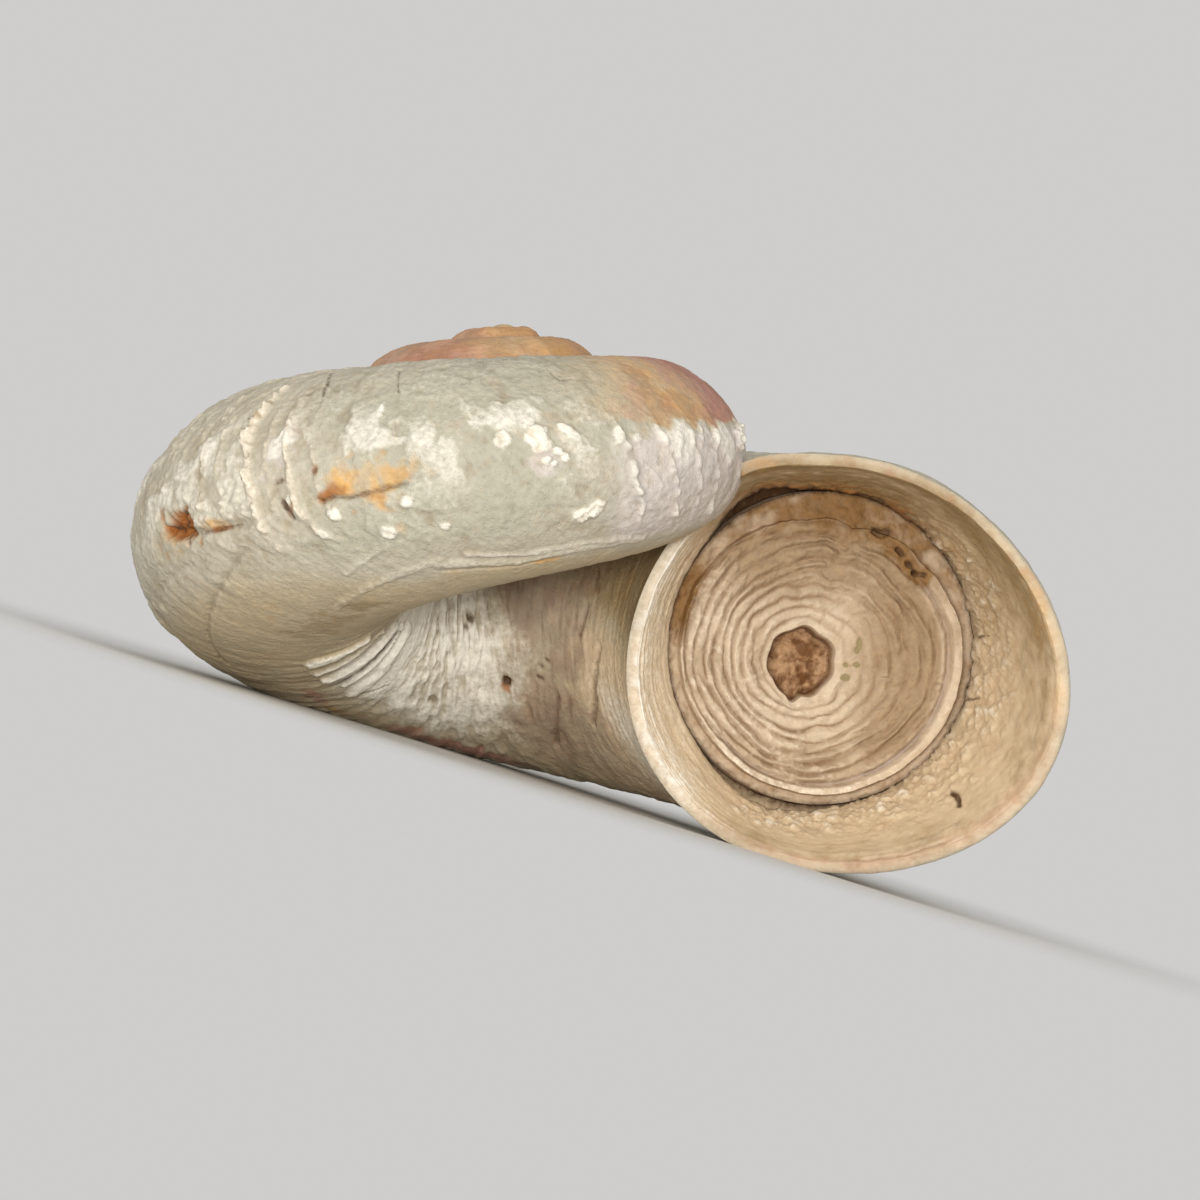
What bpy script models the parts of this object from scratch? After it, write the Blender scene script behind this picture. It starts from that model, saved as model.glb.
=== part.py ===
"""A land snail's shell, closed by its lid and lying on its base with the spire up.

The shell is one tube of lime that widens as it coils. A place along the tube is
an angle about the coiling axis, counted back from the mouth: 0 is the lip, and
every full turn back is one whorl. A place round the tube is an angle as well:
0 is the outer side, a quarter turn is the top and a half turn faces the axis.
"""
import math

import bmesh
import bpy
import numpy as np
from mathutils import Matrix, Vector

MM = 0.001
TURN = 2.0 * math.pi

# The coil, measured at the mouth
COIL_RADIUS = 9.80 * MM
TUBE_RADIUS = 6.30 * MM
SPIRE_DROP = 9.92 * MM
MOUTH_DIP = 0.27 * MM
DIP_REACH = 0.5
APEX_RISE = 0.14 * MM
APEX_RISE_TURNS = 2.35
APEX_RISE_SPAN = 0.5
MOUTH_BEARING = -0.147
WHORLS = 3.15

# Growth for each radian along the coil: the plain rate and its slow change
COIL_GROWTH = (0.1337, -0.0007)
TUBE_GROWTH = (0.1331, -0.0002)
DROP_GROWTH = (0.1578, 0.0020)

# The tube's section: an egg, a little flatter and less egg-like at the mouth
SECTION_TURN = -0.245
SECTION_HEIGHT = (0.968, -0.032)
EGG_COS = (0.0275, -0.010)
EGG_SIN = (0.005, -0.016)
SECTION_REACH = 1.5
MOUTH_LEAN = 0.15
MOUTH_TWIST = -0.07
LEAN_REACH = 0.6
GROWTH_SLANT = 0.15
CORNER_RISE = 0.42 * MM
CORNER_SIDE = 2.25
CORNER_WIDTH = 0.28
CORNER_REACH = 0.15

# The hollow: a share of the tube's own radius at the lip and deep inside, narrowed between to the lid's seat
LIP_SHARE = 0.95
LIP_ROUND = (0.006, 0.98)
DEEP_SHARE = 0.84
DEEP_TURN = -0.90
HOLLOW_TURNS = 1.1
FUNNEL_RINGS = 6
FUNNEL_BOW = 0.16
SEAT_TURN = -0.33
SEAT_SHIFT = (-0.30 * MM, 0.08 * MM)
SEAT_GAP = 0.26 * MM

# The nucleus, a small dome that closes the first whorl
NUCLEUS_RADIUS = 0.62 * MM
NUCLEUS_DROP = 0.95 * MM

# Growth ribs on the left of the last whorl: place along the coil and height. They stand on the exposed side.
RIB_WIDTH = 0.040
RIB_FOOT = 1.4
RIB_CLEARANCE = 1.8
RIB_SIDE = 0.55
RIB_EXPOSURE = 0.35
RIB_FADE = 9.0
RIBS = (
    (-3.42, 0.10 * MM), (-3.62, 0.13 * MM), (-3.83, 0.13 * MM), (-4.05, 0.22 * MM),
    (-4.20, 0.14 * MM), (-4.32, 0.12 * MM), (-5.35, 0.14 * MM), (-5.56, 0.12 * MM),
)

# Chalky lumps, partly sunk: place along the coil, place round the tube, radius
LUMP_SINK = 0.45
LUMPS = (
    (-4.30, -0.02, 0.30 * MM), (-4.55, 0.00, 0.24 * MM), (-4.48, -0.20, 0.26 * MM),
    (-4.66, -0.24, 0.22 * MM), (-4.87, 0.47, 0.26 * MM), (-4.98, 0.44, 0.30 * MM),
    (-5.04, 0.27, 0.34 * MM), (-5.18, -0.24, 0.40 * MM), (-6.20, 0.42, 0.42 * MM),
)

# Worn hollows in the outside: place along the coil, place round the tube, half length, half width, depth
HOLLOWS = (
    (-3.67, 0.09, 0.50 * MM, 0.44 * MM, 0.22 * MM),
    (-4.42, 0.17, 1.30 * MM, 0.50 * MM, 0.10 * MM),
)

# How the shell lies: the coiling axis leans to the left and a little to the back
LEAN_SIDE = math.radians(-17.5)
LEAN_BACK = math.radians(-4.0)
FLAT_DEPTH = 0.13 * MM
GROUND_WIDTH = 60.0 * MM
GROUND_DEPTH = 2.0 * MM

# The lid
LID_RADIUS = 4.44 * MM
LID_THICKNESS = 0.95 * MM
LID_DISH = 0.30 * MM
LID_RINGS = 11
LID_RING_RISE = 0.14 * MM
LID_RIM_WIDTH = 0.42 * MM
LID_RIM_STEP = 0.22 * MM
LID_STEP_RUN = 0.02 * MM
PIT_RADIUS = 0.96 * MM
PIT_DEPTH = 0.50 * MM
PIT_FLOOR_SHARE = 0.75
PIT_OFFSET = (-0.62 * MM, -0.42 * MM)
LID_SIDES = 34

# How finely the shell is cut: points round the tube, and rings on the spire, the last whorl and the hollow
SIDES = 28
SPIRE_RINGS = 34
LAST_WHORL_RINGS = 50
HOLLOW_RINGS = 15
LAST_WHORL_TURNS = 1.1
SPIRE_END = 0.5
HOLLOW_END = 0.1
SMALL_STEP = 0.001
STEP_ALONG = 0.01


def clear_scene():
    """Remove every object, so that the script can be run again."""
    for thing in list(bpy.data.objects):
        bpy.data.objects.remove(thing, do_unlink=True)


def growth(rates, along):
    """Size at places along the coil as a share of the size at the mouth."""
    return np.exp(rates[0] * along + rates[1] * along * along)


def towards_mouth(along, reach):
    """1 at the mouth, fading to 0 further back than reach."""
    return np.exp(np.minimum(along, 0.0) / reach)


def coil_middle(along):
    """Middle of the tube in the coil's own frame, with the axis as Z and the apex up."""
    radius = COIL_RADIUS * growth(COIL_GROWTH, along)
    drop = SPIRE_DROP * growth(DROP_GROWTH, along) + MOUTH_DIP * towards_mouth(along, DIP_REACH)
    drop = drop - APEX_RISE / (1.0 + np.exp((along + APEX_RISE_TURNS * TURN) / APEX_RISE_SPAN))
    bearing = MOUTH_BEARING - along
    return np.stack([radius * np.cos(bearing), radius * np.sin(bearing), -drop], axis=-1)


def section_axes(along):
    """The two unit axes of the tube's section: the long one, mostly outward, and the short, mostly up."""
    bearing = MOUTH_BEARING - along
    near_mouth = towards_mouth(along, LEAN_REACH)
    lean = (MOUTH_LEAN * near_mouth)[..., None]
    twist = (MOUTH_TWIST * near_mouth)[..., None]
    outward = np.stack([np.cos(bearing), np.sin(bearing), 0.0 * bearing], axis=-1)
    forward = np.stack([np.sin(bearing), -np.cos(bearing), 0.0 * bearing], axis=-1)
    upward = np.array([0.0, 0.0, 1.0])
    across = np.cos(twist) * outward + np.sin(twist) * forward
    above = np.cos(lean) * upward + np.sin(lean) * forward
    long_axis = math.cos(SECTION_TURN) * across + math.sin(SECTION_TURN) * above
    short_axis = math.cos(SECTION_TURN) * above - math.sin(SECTION_TURN) * across
    return long_axis, short_axis


def tube_surface(along, side, share=1.0):
    """Points of the tube's outer face, or of a like tube inside it whose radius is a share of it."""
    late = towards_mouth(along, SECTION_REACH)
    height = SECTION_HEIGHT[0] + SECTION_HEIGHT[1] * late
    egg = 1.0 + (EGG_COS[0] + EGG_COS[1] * late) * np.cos(3.0 * side)
    egg = egg + (EGG_SIN[0] + EGG_SIN[1] * late) * np.sin(3.0 * side)
    radius = TUBE_RADIUS * growth(TUBE_GROWTH, along) * egg
    corner = np.exp(-((side - CORNER_SIDE) / CORNER_WIDTH) ** 2) * towards_mouth(along, CORNER_REACH)
    radius = (radius + CORNER_RISE * corner) * share
    long_axis, short_axis = section_axes(along)
    reach = np.cos(side)[..., None] * long_axis + (np.sin(side) * height)[..., None] * short_axis
    return coil_middle(along) + radius[..., None] * reach


def growth_line(station, side):
    """Place along the coil of a growth line, which leans forward at the top of the tube."""
    settled = 1.0 - towards_mouth(station, LEAN_REACH)
    return station + GROWTH_SLANT * np.sin(side) * settled


def outer_normal(along, side):
    """Unit normal of the outer face, from two short steps on it."""
    run = tube_surface(along + SMALL_STEP, side) - tube_surface(along - SMALL_STEP, side)
    turn = tube_surface(along, side + SMALL_STEP) - tube_surface(along, side - SMALL_STEP)
    normal = np.cross(turn, run)
    return normal / np.linalg.norm(normal, axis=-1, keepdims=True)


def rib_height(station, side):
    """How far the growth ribs stand proud; they run over the top and the outer side."""
    exposed = 1.0 / (1.0 + np.exp(-RIB_FADE * (np.cos(side - RIB_SIDE) - RIB_EXPOSURE)))
    total = 0.0 * station * side
    for place, height in RIBS:
        total = total + height * np.exp(-((station - place) / RIB_WIDTH) ** 2)
    return total * exposed


def outer_stations():
    """Growth lines that carry the outer face, closer together where a rib stands."""
    spire = np.linspace(-WHORLS * TURN, -LAST_WHORL_TURNS * TURN, SPIRE_RINGS)
    last_whorl = np.linspace(-LAST_WHORL_TURNS * TURN, 0.0, LAST_WHORL_RINGS)
    places = [place for place, height in RIBS]
    plain = [station for station in np.concatenate([spire, last_whorl[1:]])
             if min(abs(station - place) for place in places) > RIB_CLEARANCE * RIB_WIDTH]
    ribbed = [place + foot * RIB_WIDTH for place in places for foot in (-RIB_FOOT, 0.0, RIB_FOOT)]
    return np.array(sorted(plain + ribbed))


def lid_axes():
    """The lid's own frame inside the coil's: its middle, two axes in its face, the axis out of the mouth."""
    along = np.array(SEAT_TURN)
    long_axis, short_axis = section_axes(along)
    middle = coil_middle(along) + SEAT_SHIFT[0] * long_axis + SEAT_SHIFT[1] * short_axis
    outlet = np.cross(long_axis, short_axis)
    return middle, long_axis, short_axis, outlet / np.linalg.norm(outlet)


def seat_ring(side, out):
    """A ring of the round seat, at a distance out of the mouth from the lid's middle."""
    middle, long_axis, short_axis, outlet = lid_axes()
    radius = LID_RADIUS + SEAT_GAP
    round_it = np.cos(side)[:, None] * long_axis + np.sin(side)[:, None] * short_axis
    return middle + radius * round_it + out * outlet


def hollow_rings(side):
    """Rings of the inner face: the funnel inside the lip, the lid's seat, and the deep hollow."""
    lip = tube_surface(np.zeros(side.shape), side, LIP_SHARE)
    seat_front = seat_ring(side, LID_DISH + LID_RIM_STEP)
    seat_back = seat_ring(side, -LID_THICKNESS - SEAT_GAP)
    blend = np.linspace(0.0, 1.0, FUNNEL_RINGS)[:-1, None, None]
    middle = lid_axes()[0]
    bowed = 1.0 + FUNNEL_BOW * blend * (1.0 - blend)
    funnel = middle + ((1.0 - blend) * lip + blend * seat_front - middle) * bowed
    deep = np.linspace(DEEP_TURN, -HOLLOW_TURNS * TURN, HOLLOW_RINGS)[:, None]
    along = growth_line(deep, side[None, :])
    sides = np.broadcast_to(side[None, :], along.shape)
    inside = tube_surface(along, sides, DEEP_SHARE)
    return np.concatenate([funnel, seat_front[None], seat_back[None], inside])


def mesh_object(name, bm, collection):
    """Turn a bmesh into a named object of a collection."""
    mesh = bpy.data.meshes.new(name)
    bm.to_mesh(mesh)
    bm.free()
    thing = bpy.data.objects.new(name, mesh)
    collection.objects.link(thing)
    return thing


def loft(rings, first_pole, last_pole):
    """One closed skin over a run of rings of equal count, with a point at each end."""
    bm = bmesh.new()
    rows = [[bm.verts.new(Vector(point)) for point in ring] for ring in rings]
    count = len(rows[0])
    for row, following in zip(rows, rows[1:]):
        for j in range(count):
            k = (j + 1) % count
            bm.faces.new((row[j], row[k], following[k], following[j]))
    start = bm.verts.new(Vector(first_pole))
    end = bm.verts.new(Vector(last_pole))
    for j in range(count):
        k = (j + 1) % count
        bm.faces.new((rows[0][k], rows[0][j], start))
        bm.faces.new((rows[-1][j], rows[-1][k], end))
    bmesh.ops.triangulate(bm, faces=[face for face in bm.faces if len(face.verts) > 3])
    if bm.calc_volume(signed=True) < 0.0:
        bmesh.ops.reverse_faces(bm, faces=bm.faces)
    return bm


def shell_rings():
    """Rings of the shell's skin: the outside from the apex, over the lip, and the hollow back from it."""
    side = np.linspace(0.0, TURN, SIDES, endpoint=False)
    station = outer_stations()[:, None]
    along = growth_line(station, side[None, :])
    sides = np.broadcast_to(side[None, :], along.shape)
    outside = tube_surface(along, sides)
    outside = outside + rib_height(station, sides)[..., None] * outer_normal(along, sides)
    edge = tube_surface(np.full(side.shape, LIP_ROUND[0]), side, LIP_ROUND[1])[None]
    return np.concatenate([outside, edge, hollow_rings(side)])


def resting_turn():
    """Turn from the coil's own frame to the way the shell lies."""
    return Matrix.Rotation(LEAN_BACK, 4, "X") @ Matrix.Rotation(LEAN_SIDE, 4, "Y")


def resting_place(rings):
    """The lying turn, with the box's bottom centre brought to the origin and the flats sunk in."""
    turn = resting_turn()
    points = rings.reshape(-1, 3) @ np.array(turn.to_3x3()).T
    low = points.min(axis=0)
    high = points.max(axis=0)
    middle = 0.5 * (low + high)
    shift = Vector((-middle[0], -middle[1], -low[2] - FLAT_DEPTH))
    return Matrix.Translation(shift) @ turn


def material(name, colour, roughness):
    """A plain lime or horn finish."""
    finish = bpy.data.materials.new(name)
    finish.use_nodes = True
    shader = finish.node_tree.nodes["Principled BSDF"]
    shader.inputs["Base Color"].default_value = (*colour, 1.0)
    shader.inputs["Roughness"].default_value = roughness
    shader.inputs["Metallic"].default_value = 0.0
    return finish


def add_boolean(target, cutter, operation):
    """Join or cut a piece with another object, minding where its own whorls run into each other."""
    cut = target.modifiers.new(cutter.name, "BOOLEAN")
    cut.operation = operation
    cut.object = cutter
    cut.solver = "EXACT"
    cut.use_self = True


def as_guide(thing):
    """Mark an object as a tool that isn't part of the shell."""
    thing.hide_render = True
    thing.display_type = "WIRE"


def make_lumps(placing, collection):
    """Chalky lumps half sunk in the outside of the last whorl, and the nucleus on the coiling axis."""
    bm = bmesh.new()
    for along, side, radius in LUMPS:
        place = np.array([along]), np.array([side])
        middle = tube_surface(*place)[0] - LUMP_SINK * radius * outer_normal(*place)[0]
        seat = placing @ Matrix.Translation(Vector(middle))
        bmesh.ops.create_icosphere(bm, subdivisions=1, radius=radius, matrix=seat)
    seat = placing @ Matrix.Translation((0.0, 0.0, -NUCLEUS_DROP))
    bmesh.ops.create_icosphere(bm, subdivisions=2, radius=NUCLEUS_RADIUS, matrix=seat)
    lumps = mesh_object("lumps", bm, collection)
    as_guide(lumps)
    return lumps


def make_worn_hollows(placing, collection):
    """Flat egg-shaped cutters for the worn hollows."""
    bm = bmesh.new()
    for along, side, half_length, half_width, depth in HOLLOWS:
        place = np.array([along]), np.array([side])
        normal = Vector(outer_normal(*place)[0])
        run = tube_surface(place[0] + STEP_ALONG, place[1]) - tube_surface(*place)
        forward = Vector(run[0]).normalized()
        crosswise = normal.cross(forward).normalized()
        axes = Matrix((forward * half_length, crosswise * half_width, normal * 2.0 * depth))
        middle = Vector(tube_surface(*place)[0]) + normal * depth
        seat = placing @ Matrix.Translation(middle) @ axes.transposed().to_4x4()
        bmesh.ops.create_icosphere(bm, subdivisions=2, radius=1.0, matrix=seat)
    hollows = mesh_object("worn_hollows", bm, collection)
    as_guide(hollows)
    return hollows


def make_ground(collection):
    """A block below the resting plane, which takes the two flats off the shell."""
    bpy.ops.mesh.primitive_cube_add(size=1.0)
    ground = bpy.context.object
    ground.name = "ground"
    ground.data.transform(Matrix.Diagonal((GROUND_WIDTH, GROUND_WIDTH, GROUND_DEPTH, 1.0)))
    ground.location = (0.0, 0.0, -0.5 * GROUND_DEPTH)
    for home in list(ground.users_collection):
        home.objects.unlink(ground)
    collection.objects.link(ground)
    as_guide(ground)
    return ground


def make_shell(collection, tools):
    """The coiled shell, open at the mouth."""
    rings = shell_rings()
    placing = resting_place(rings)
    apex = coil_middle(np.array([-WHORLS * TURN - SPIRE_END]))[0]
    back = coil_middle(np.array([-HOLLOW_TURNS * TURN - HOLLOW_END]))[0]
    shell = mesh_object("shell", loft(rings, apex, back), collection)
    shell.data.transform(placing)
    shell.data.materials.append(material("lime shell", (0.62, 0.55, 0.42), 0.55))
    add_boolean(shell, make_lumps(placing, tools), "UNION")
    add_boolean(shell, make_worn_hollows(placing, tools), "DIFFERENCE")
    add_boolean(shell, make_ground(tools), "DIFFERENCE")
    return placing


def lid_profile():
    """Radius, height and share of the pit's offset for each ring, from the pit's floor to the underside."""
    field = LID_RADIUS - LID_RIM_WIDTH
    pitch = (field - PIT_RADIUS) / LID_RINGS
    rows = [(PIT_FLOOR_SHARE * PIT_RADIUS, -PIT_DEPTH), (PIT_RADIUS, 0.0)]
    for ring in range(LID_RINGS):
        crest = PIT_RADIUS + (ring + 0.5) * pitch
        trough = PIT_RADIUS + (ring + 1.0) * pitch
        rows.append((crest, LID_DISH * (crest / field) ** 2 + LID_RING_RISE))
        rows.append((trough, LID_DISH * (trough / field) ** 2))
    rows.append((field + LID_STEP_RUN, LID_DISH - LID_RIM_STEP))
    rows.append((LID_RADIUS, LID_DISH - LID_RIM_STEP))
    rows.append((LID_RADIUS, -LID_THICKNESS))
    return [(radius, height, 1.0 - min(radius / field, 1.0)) for radius, height in rows]


def lid_seat(placing):
    """Place of the lid in the mouth, its face towards the opening."""
    middle, long_axis, short_axis, outlet = [Vector(v) for v in lid_axes()]
    short_axis = outlet.cross(long_axis)
    axes = Matrix((long_axis, short_axis, outlet)).transposed().to_4x4()
    return placing @ Matrix.Translation(middle) @ axes


def make_lid(placing, collection):
    """The chalky lid: raised growth rings round a pit that lies off the middle of the plate."""
    side = np.linspace(0.0, TURN, LID_SIDES, endpoint=False)
    rings = []
    for radius, height, share in lid_profile():
        x = radius * np.cos(side) + share * PIT_OFFSET[0]
        y = radius * np.sin(side) + share * PIT_OFFSET[1]
        rings.append(np.stack([x, y, np.full(side.shape, height)], axis=-1))
    pit_floor = (PIT_OFFSET[0], PIT_OFFSET[1], -PIT_DEPTH)
    lid = mesh_object("operculum", loft(rings, pit_floor, (0.0, 0.0, -LID_THICKNESS)), collection)
    lid.data.transform(lid_seat(placing))
    lid.data.materials.append(material("chalky lid", (0.50, 0.40, 0.28), 0.75))


def new_collection(name):
    """A named collection in the scene."""
    collection = bpy.data.collections.new(name)
    bpy.context.scene.collection.children.link(collection)
    return collection


clear_scene()
snail_shell = new_collection("snail_shell")
shaping_tools = new_collection("shaping_tools")
shell_placing = make_shell(snail_shell, shaping_tools)
make_lid(shell_placing, snail_shell)
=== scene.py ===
import itertools
import math

import bpy
import numpy as np
from mathutils import Matrix, Vector


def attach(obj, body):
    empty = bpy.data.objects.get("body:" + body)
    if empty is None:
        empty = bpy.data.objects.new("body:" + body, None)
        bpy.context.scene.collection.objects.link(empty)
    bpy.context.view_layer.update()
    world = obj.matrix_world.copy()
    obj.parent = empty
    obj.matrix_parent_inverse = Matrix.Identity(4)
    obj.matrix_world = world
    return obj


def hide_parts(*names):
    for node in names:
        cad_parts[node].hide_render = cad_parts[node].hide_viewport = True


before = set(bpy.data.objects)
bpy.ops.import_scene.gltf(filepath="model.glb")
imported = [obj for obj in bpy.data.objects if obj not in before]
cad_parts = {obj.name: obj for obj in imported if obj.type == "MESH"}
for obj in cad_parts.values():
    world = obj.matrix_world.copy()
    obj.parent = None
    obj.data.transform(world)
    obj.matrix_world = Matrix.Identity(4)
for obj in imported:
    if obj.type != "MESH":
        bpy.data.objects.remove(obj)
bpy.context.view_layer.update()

# The coiled tube
# One tube of lime that the snail built forward at its lip, so each size grows by a fixed share for each
# radian of the coil. A place on it is an angle along the coil, 0 at the lip and counted back, and an angle
# round the tube: 0 outside, a quarter turn on top, a half turn facing the axis. Sizes are in millimetres.

MM = 0.001
TURN = 2.0 * math.pi

COIL_RADIUS = 9.80
TUBE_RADIUS = 6.30
SPIRE_DROP = 9.92
MOUTH_DIP = 0.27
MOUTH_DIP_REACH = 0.5
APEX_RISE = 0.14
APEX_RISE_START = 2.35 * TURN
APEX_RISE_REACH = 0.5
MOUTH_BEARING = -0.147
WHORLS = 3.15

COIL_GROWTH = (0.1337, -0.0007)
TUBE_GROWTH = (0.1331, -0.0002)
DROP_GROWTH = (0.1578, 0.0020)

SECTION_TURN = -0.245
SECTION_HEIGHT = (0.968, -0.032)
SECTION_REACH = 1.5
EGG_COS = (0.0275, -0.010)
EGG_SIN = (0.005, -0.016)
MOUTH_LEAN = 0.15
MOUTH_TWIST = -0.07
MOUTH_REACH = 0.6
GROWTH_SLANT = 0.15
CORNER_RISE = 0.42
CORNER_SIDE = 2.25
CORNER_WIDTH = 0.28
CORNER_REACH = 0.15

LEAN_SIDE = math.radians(-17.5)
LEAN_BACK = math.radians(-4.0)
COIL_TURN = Matrix.Rotation(LEAN_BACK, 3, "X") @ Matrix.Rotation(LEAN_SIDE, 3, "Y")
REST_SHIFT = np.array([-5.22716, -1.82771, 12.39206])

SEAM_SIDE = 2.55
SIDE_COUNT = 320
FINE_SIDES = (-1.25, 1.95)
FINE_SHARE = 0.62


def joined(*parts):
    """Coordinates and single numbers, spread to one shape and joined as points."""
    return np.stack(np.broadcast_arrays(*parts), axis=-1)


def wrapped(angle):
    """An angle brought between minus and plus half a turn."""
    return (angle + math.pi) % TURN - math.pi


def hump(value, middle, width):
    """1 at the middle, falling on both sides as e to the power of minus the square of distance over width."""
    return np.exp(-((value - middle) / width) ** 2)


def growth(rates, along):
    """Share of the mouth's size: e to the power of rate times angle plus slow change times its square."""
    return np.exp(rates[0] * along + rates[1] * along * along)


def towards_mouth(along, reach):
    """1 at the mouth, falling to 0 further back than reach as e to the power of angle over reach."""
    return np.exp(np.minimum(along, 0.0) / reach)


def coil_middle(along):
    """Middle of the tube: a point that circles the axis on a growing radius and sinks by a growing drop."""
    radius = COIL_RADIUS * growth(COIL_GROWTH, along)
    drop = SPIRE_DROP * growth(DROP_GROWTH, along) + MOUTH_DIP * towards_mouth(along, MOUTH_DIP_REACH)
    drop = drop - APEX_RISE / (1.0 + np.exp((along + APEX_RISE_START) / APEX_RISE_REACH))
    bearing = MOUTH_BEARING - along
    return joined(radius * np.cos(bearing), radius * np.sin(bearing), -drop)


def section_axes(along):
    """The section's long and short axes: outward and upward, turned together and leaning near the mouth."""
    bearing = MOUTH_BEARING - along
    near_mouth = towards_mouth(along, MOUTH_REACH)
    lean = (MOUTH_LEAN * near_mouth)[..., None]
    twist = (MOUTH_TWIST * near_mouth)[..., None]
    outward = joined(np.cos(bearing), np.sin(bearing), 0.0)
    forward = joined(np.sin(bearing), -np.cos(bearing), 0.0)
    upward = np.array([0.0, 0.0, 1.0])
    across = np.cos(twist) * outward + np.sin(twist) * forward
    above = np.cos(lean) * upward + np.sin(lean) * forward
    long_axis = math.cos(SECTION_TURN) * across + math.sin(SECTION_TURN) * above
    short_axis = math.cos(SECTION_TURN) * above - math.sin(SECTION_TURN) * across
    return long_axis, short_axis


def tube_surface(along, side, share=1.0):
    """Skin of the tube: its middle plus an egg, cosine on the long axis and flattened sine on the short."""
    late = towards_mouth(along, SECTION_REACH)
    height = SECTION_HEIGHT[0] + SECTION_HEIGHT[1] * late
    egg = 1.0 + (EGG_COS[0] + EGG_COS[1] * late) * np.cos(3.0 * side)
    egg = egg + (EGG_SIN[0] + EGG_SIN[1] * late) * np.sin(3.0 * side)
    radius = TUBE_RADIUS * growth(TUBE_GROWTH, along) * egg
    corner = hump(side, CORNER_SIDE, CORNER_WIDTH) * towards_mouth(along, CORNER_REACH)
    radius = (radius + CORNER_RISE * corner) * share
    long_axis, short_axis = section_axes(along)
    reach = np.cos(side)[..., None] * long_axis + (np.sin(side) * height)[..., None] * short_axis
    return coil_middle(along) + radius[..., None] * reach


def growth_line(station, side):
    """Place along the coil of a growth line: it leans forward on top of the tube by the sine of the side."""
    return station + GROWTH_SLANT * np.sin(side) * (1.0 - towards_mouth(station, MOUTH_REACH))


def grid_normals(points):
    """Unit normals of a grid of points: the cross product of its steps round and along."""
    along_steps = np.gradient(points, axis=0)
    padded = np.concatenate([points[:, -1:], points, points[:, :1]], axis=1)
    round_steps = padded[:, 2:] - padded[:, :-2]
    normal = np.cross(round_steps, along_steps)
    return normal / np.maximum(np.linalg.norm(normal, axis=-1, keepdims=True), 1e-12)


def spaced_sides(count):
    """Angles round the tube from the seam, closer together on the stretch that is seen most."""
    fine = np.linspace(*FINE_SIDES, int(count * FINE_SHARE), endpoint=False)
    low = SEAM_SIDE - TURN
    coarse_count = count - len(fine)
    under = int(coarse_count * (FINE_SIDES[0] - low) / (TURN - FINE_SIDES[1] + FINE_SIDES[0]))
    before = np.linspace(low, FINE_SIDES[0], under, endpoint=False)
    after = np.linspace(FINE_SIDES[1], SEAM_SIDE, coarse_count - under, endpoint=False)
    return np.concatenate([before, fine, after])


def lattice(cell, seed):
    """Numbers from 0 to 1 for whole-number cells: the three indices mixed by large odd factors and shifts."""
    mixed = cell[..., 0] * 73856093 ^ cell[..., 1] * 19349663 ^ cell[..., 2] * 83492791 ^ seed * 26544357
    mixed = (mixed ^ mixed >> 13) * 1274126177 & 0x7FFFFFFFFFFF
    mixed = (mixed ^ mixed >> 17) * 668265263 & 0x7FFFFFFFFFFF
    return (mixed >> 8 & 0xFFFFF) / 0xFFFFF


def cloud(points, size, seed, octaves=3):
    """Smooth noise from about -1 to 1: lattice numbers joined by smooth steps, with halved finer copies."""
    total = 0.0
    weight = 1.0
    for octave in range(octaves):
        scaled = points / size
        cell = np.floor(scaled).astype(np.int64)
        part = scaled - cell
        part = part * part * (3.0 - 2.0 * part)
        value = 0.0
        for corner in itertools.product((0, 1), repeat=3):
            corner = np.array(corner)
            share = np.where(corner == 1, part, 1.0 - part).prod(axis=-1)
            value = value + share * lattice(cell + corner, seed + octave)
        total = total + weight * (2.0 * value - 1.0)
        weight = 0.5 * weight
        size = 0.5 * size
    return total


def grains(points, size, seed):
    """Scattered grains, one to a cell: distance to the nearest middle in sizes, and that grain's number."""
    scaled = points / size
    home = np.floor(scaled).astype(np.int64)
    nearest = np.full(points.shape[:-1], 9.0)
    number = np.zeros(points.shape[:-1])
    for step in itertools.product((-1, 0, 1), repeat=3):
        cell = home + np.array(step)
        middle = cell + np.stack([lattice(cell, seed + k) for k in range(3)], axis=-1)
        distance = np.linalg.norm(scaled - middle, axis=-1)
        closer = distance < nearest
        nearest = np.where(closer, distance, nearest)
        number = np.where(closer, lattice(cell, seed + 3), number)
    return nearest, number


def rise(value, low, high):
    """0 below low, 1 above high and a smooth step between; the other way round where low is the larger."""
    part = np.clip((value - low) / (high - low), 0.0, 1.0)
    return part * part * (3.0 - 2.0 * part)


def span(value, low, high, soft):
    """1 between low and high, fading to 0 over a soft width at each end."""
    return rise(value, low - soft, low + soft) * rise(value, high + soft, high - soft)


def cover(masks, name, values):
    """Lays values over a mask wherever they are the larger."""
    masks[name] = np.maximum(masks[name], values)


def laid(points):
    """Points of the coil's own frame, turned and shifted to the way the shell lies, in metres."""
    return (points @ np.array(COIL_TURN).T + REST_SHIFT) * MM


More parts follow.
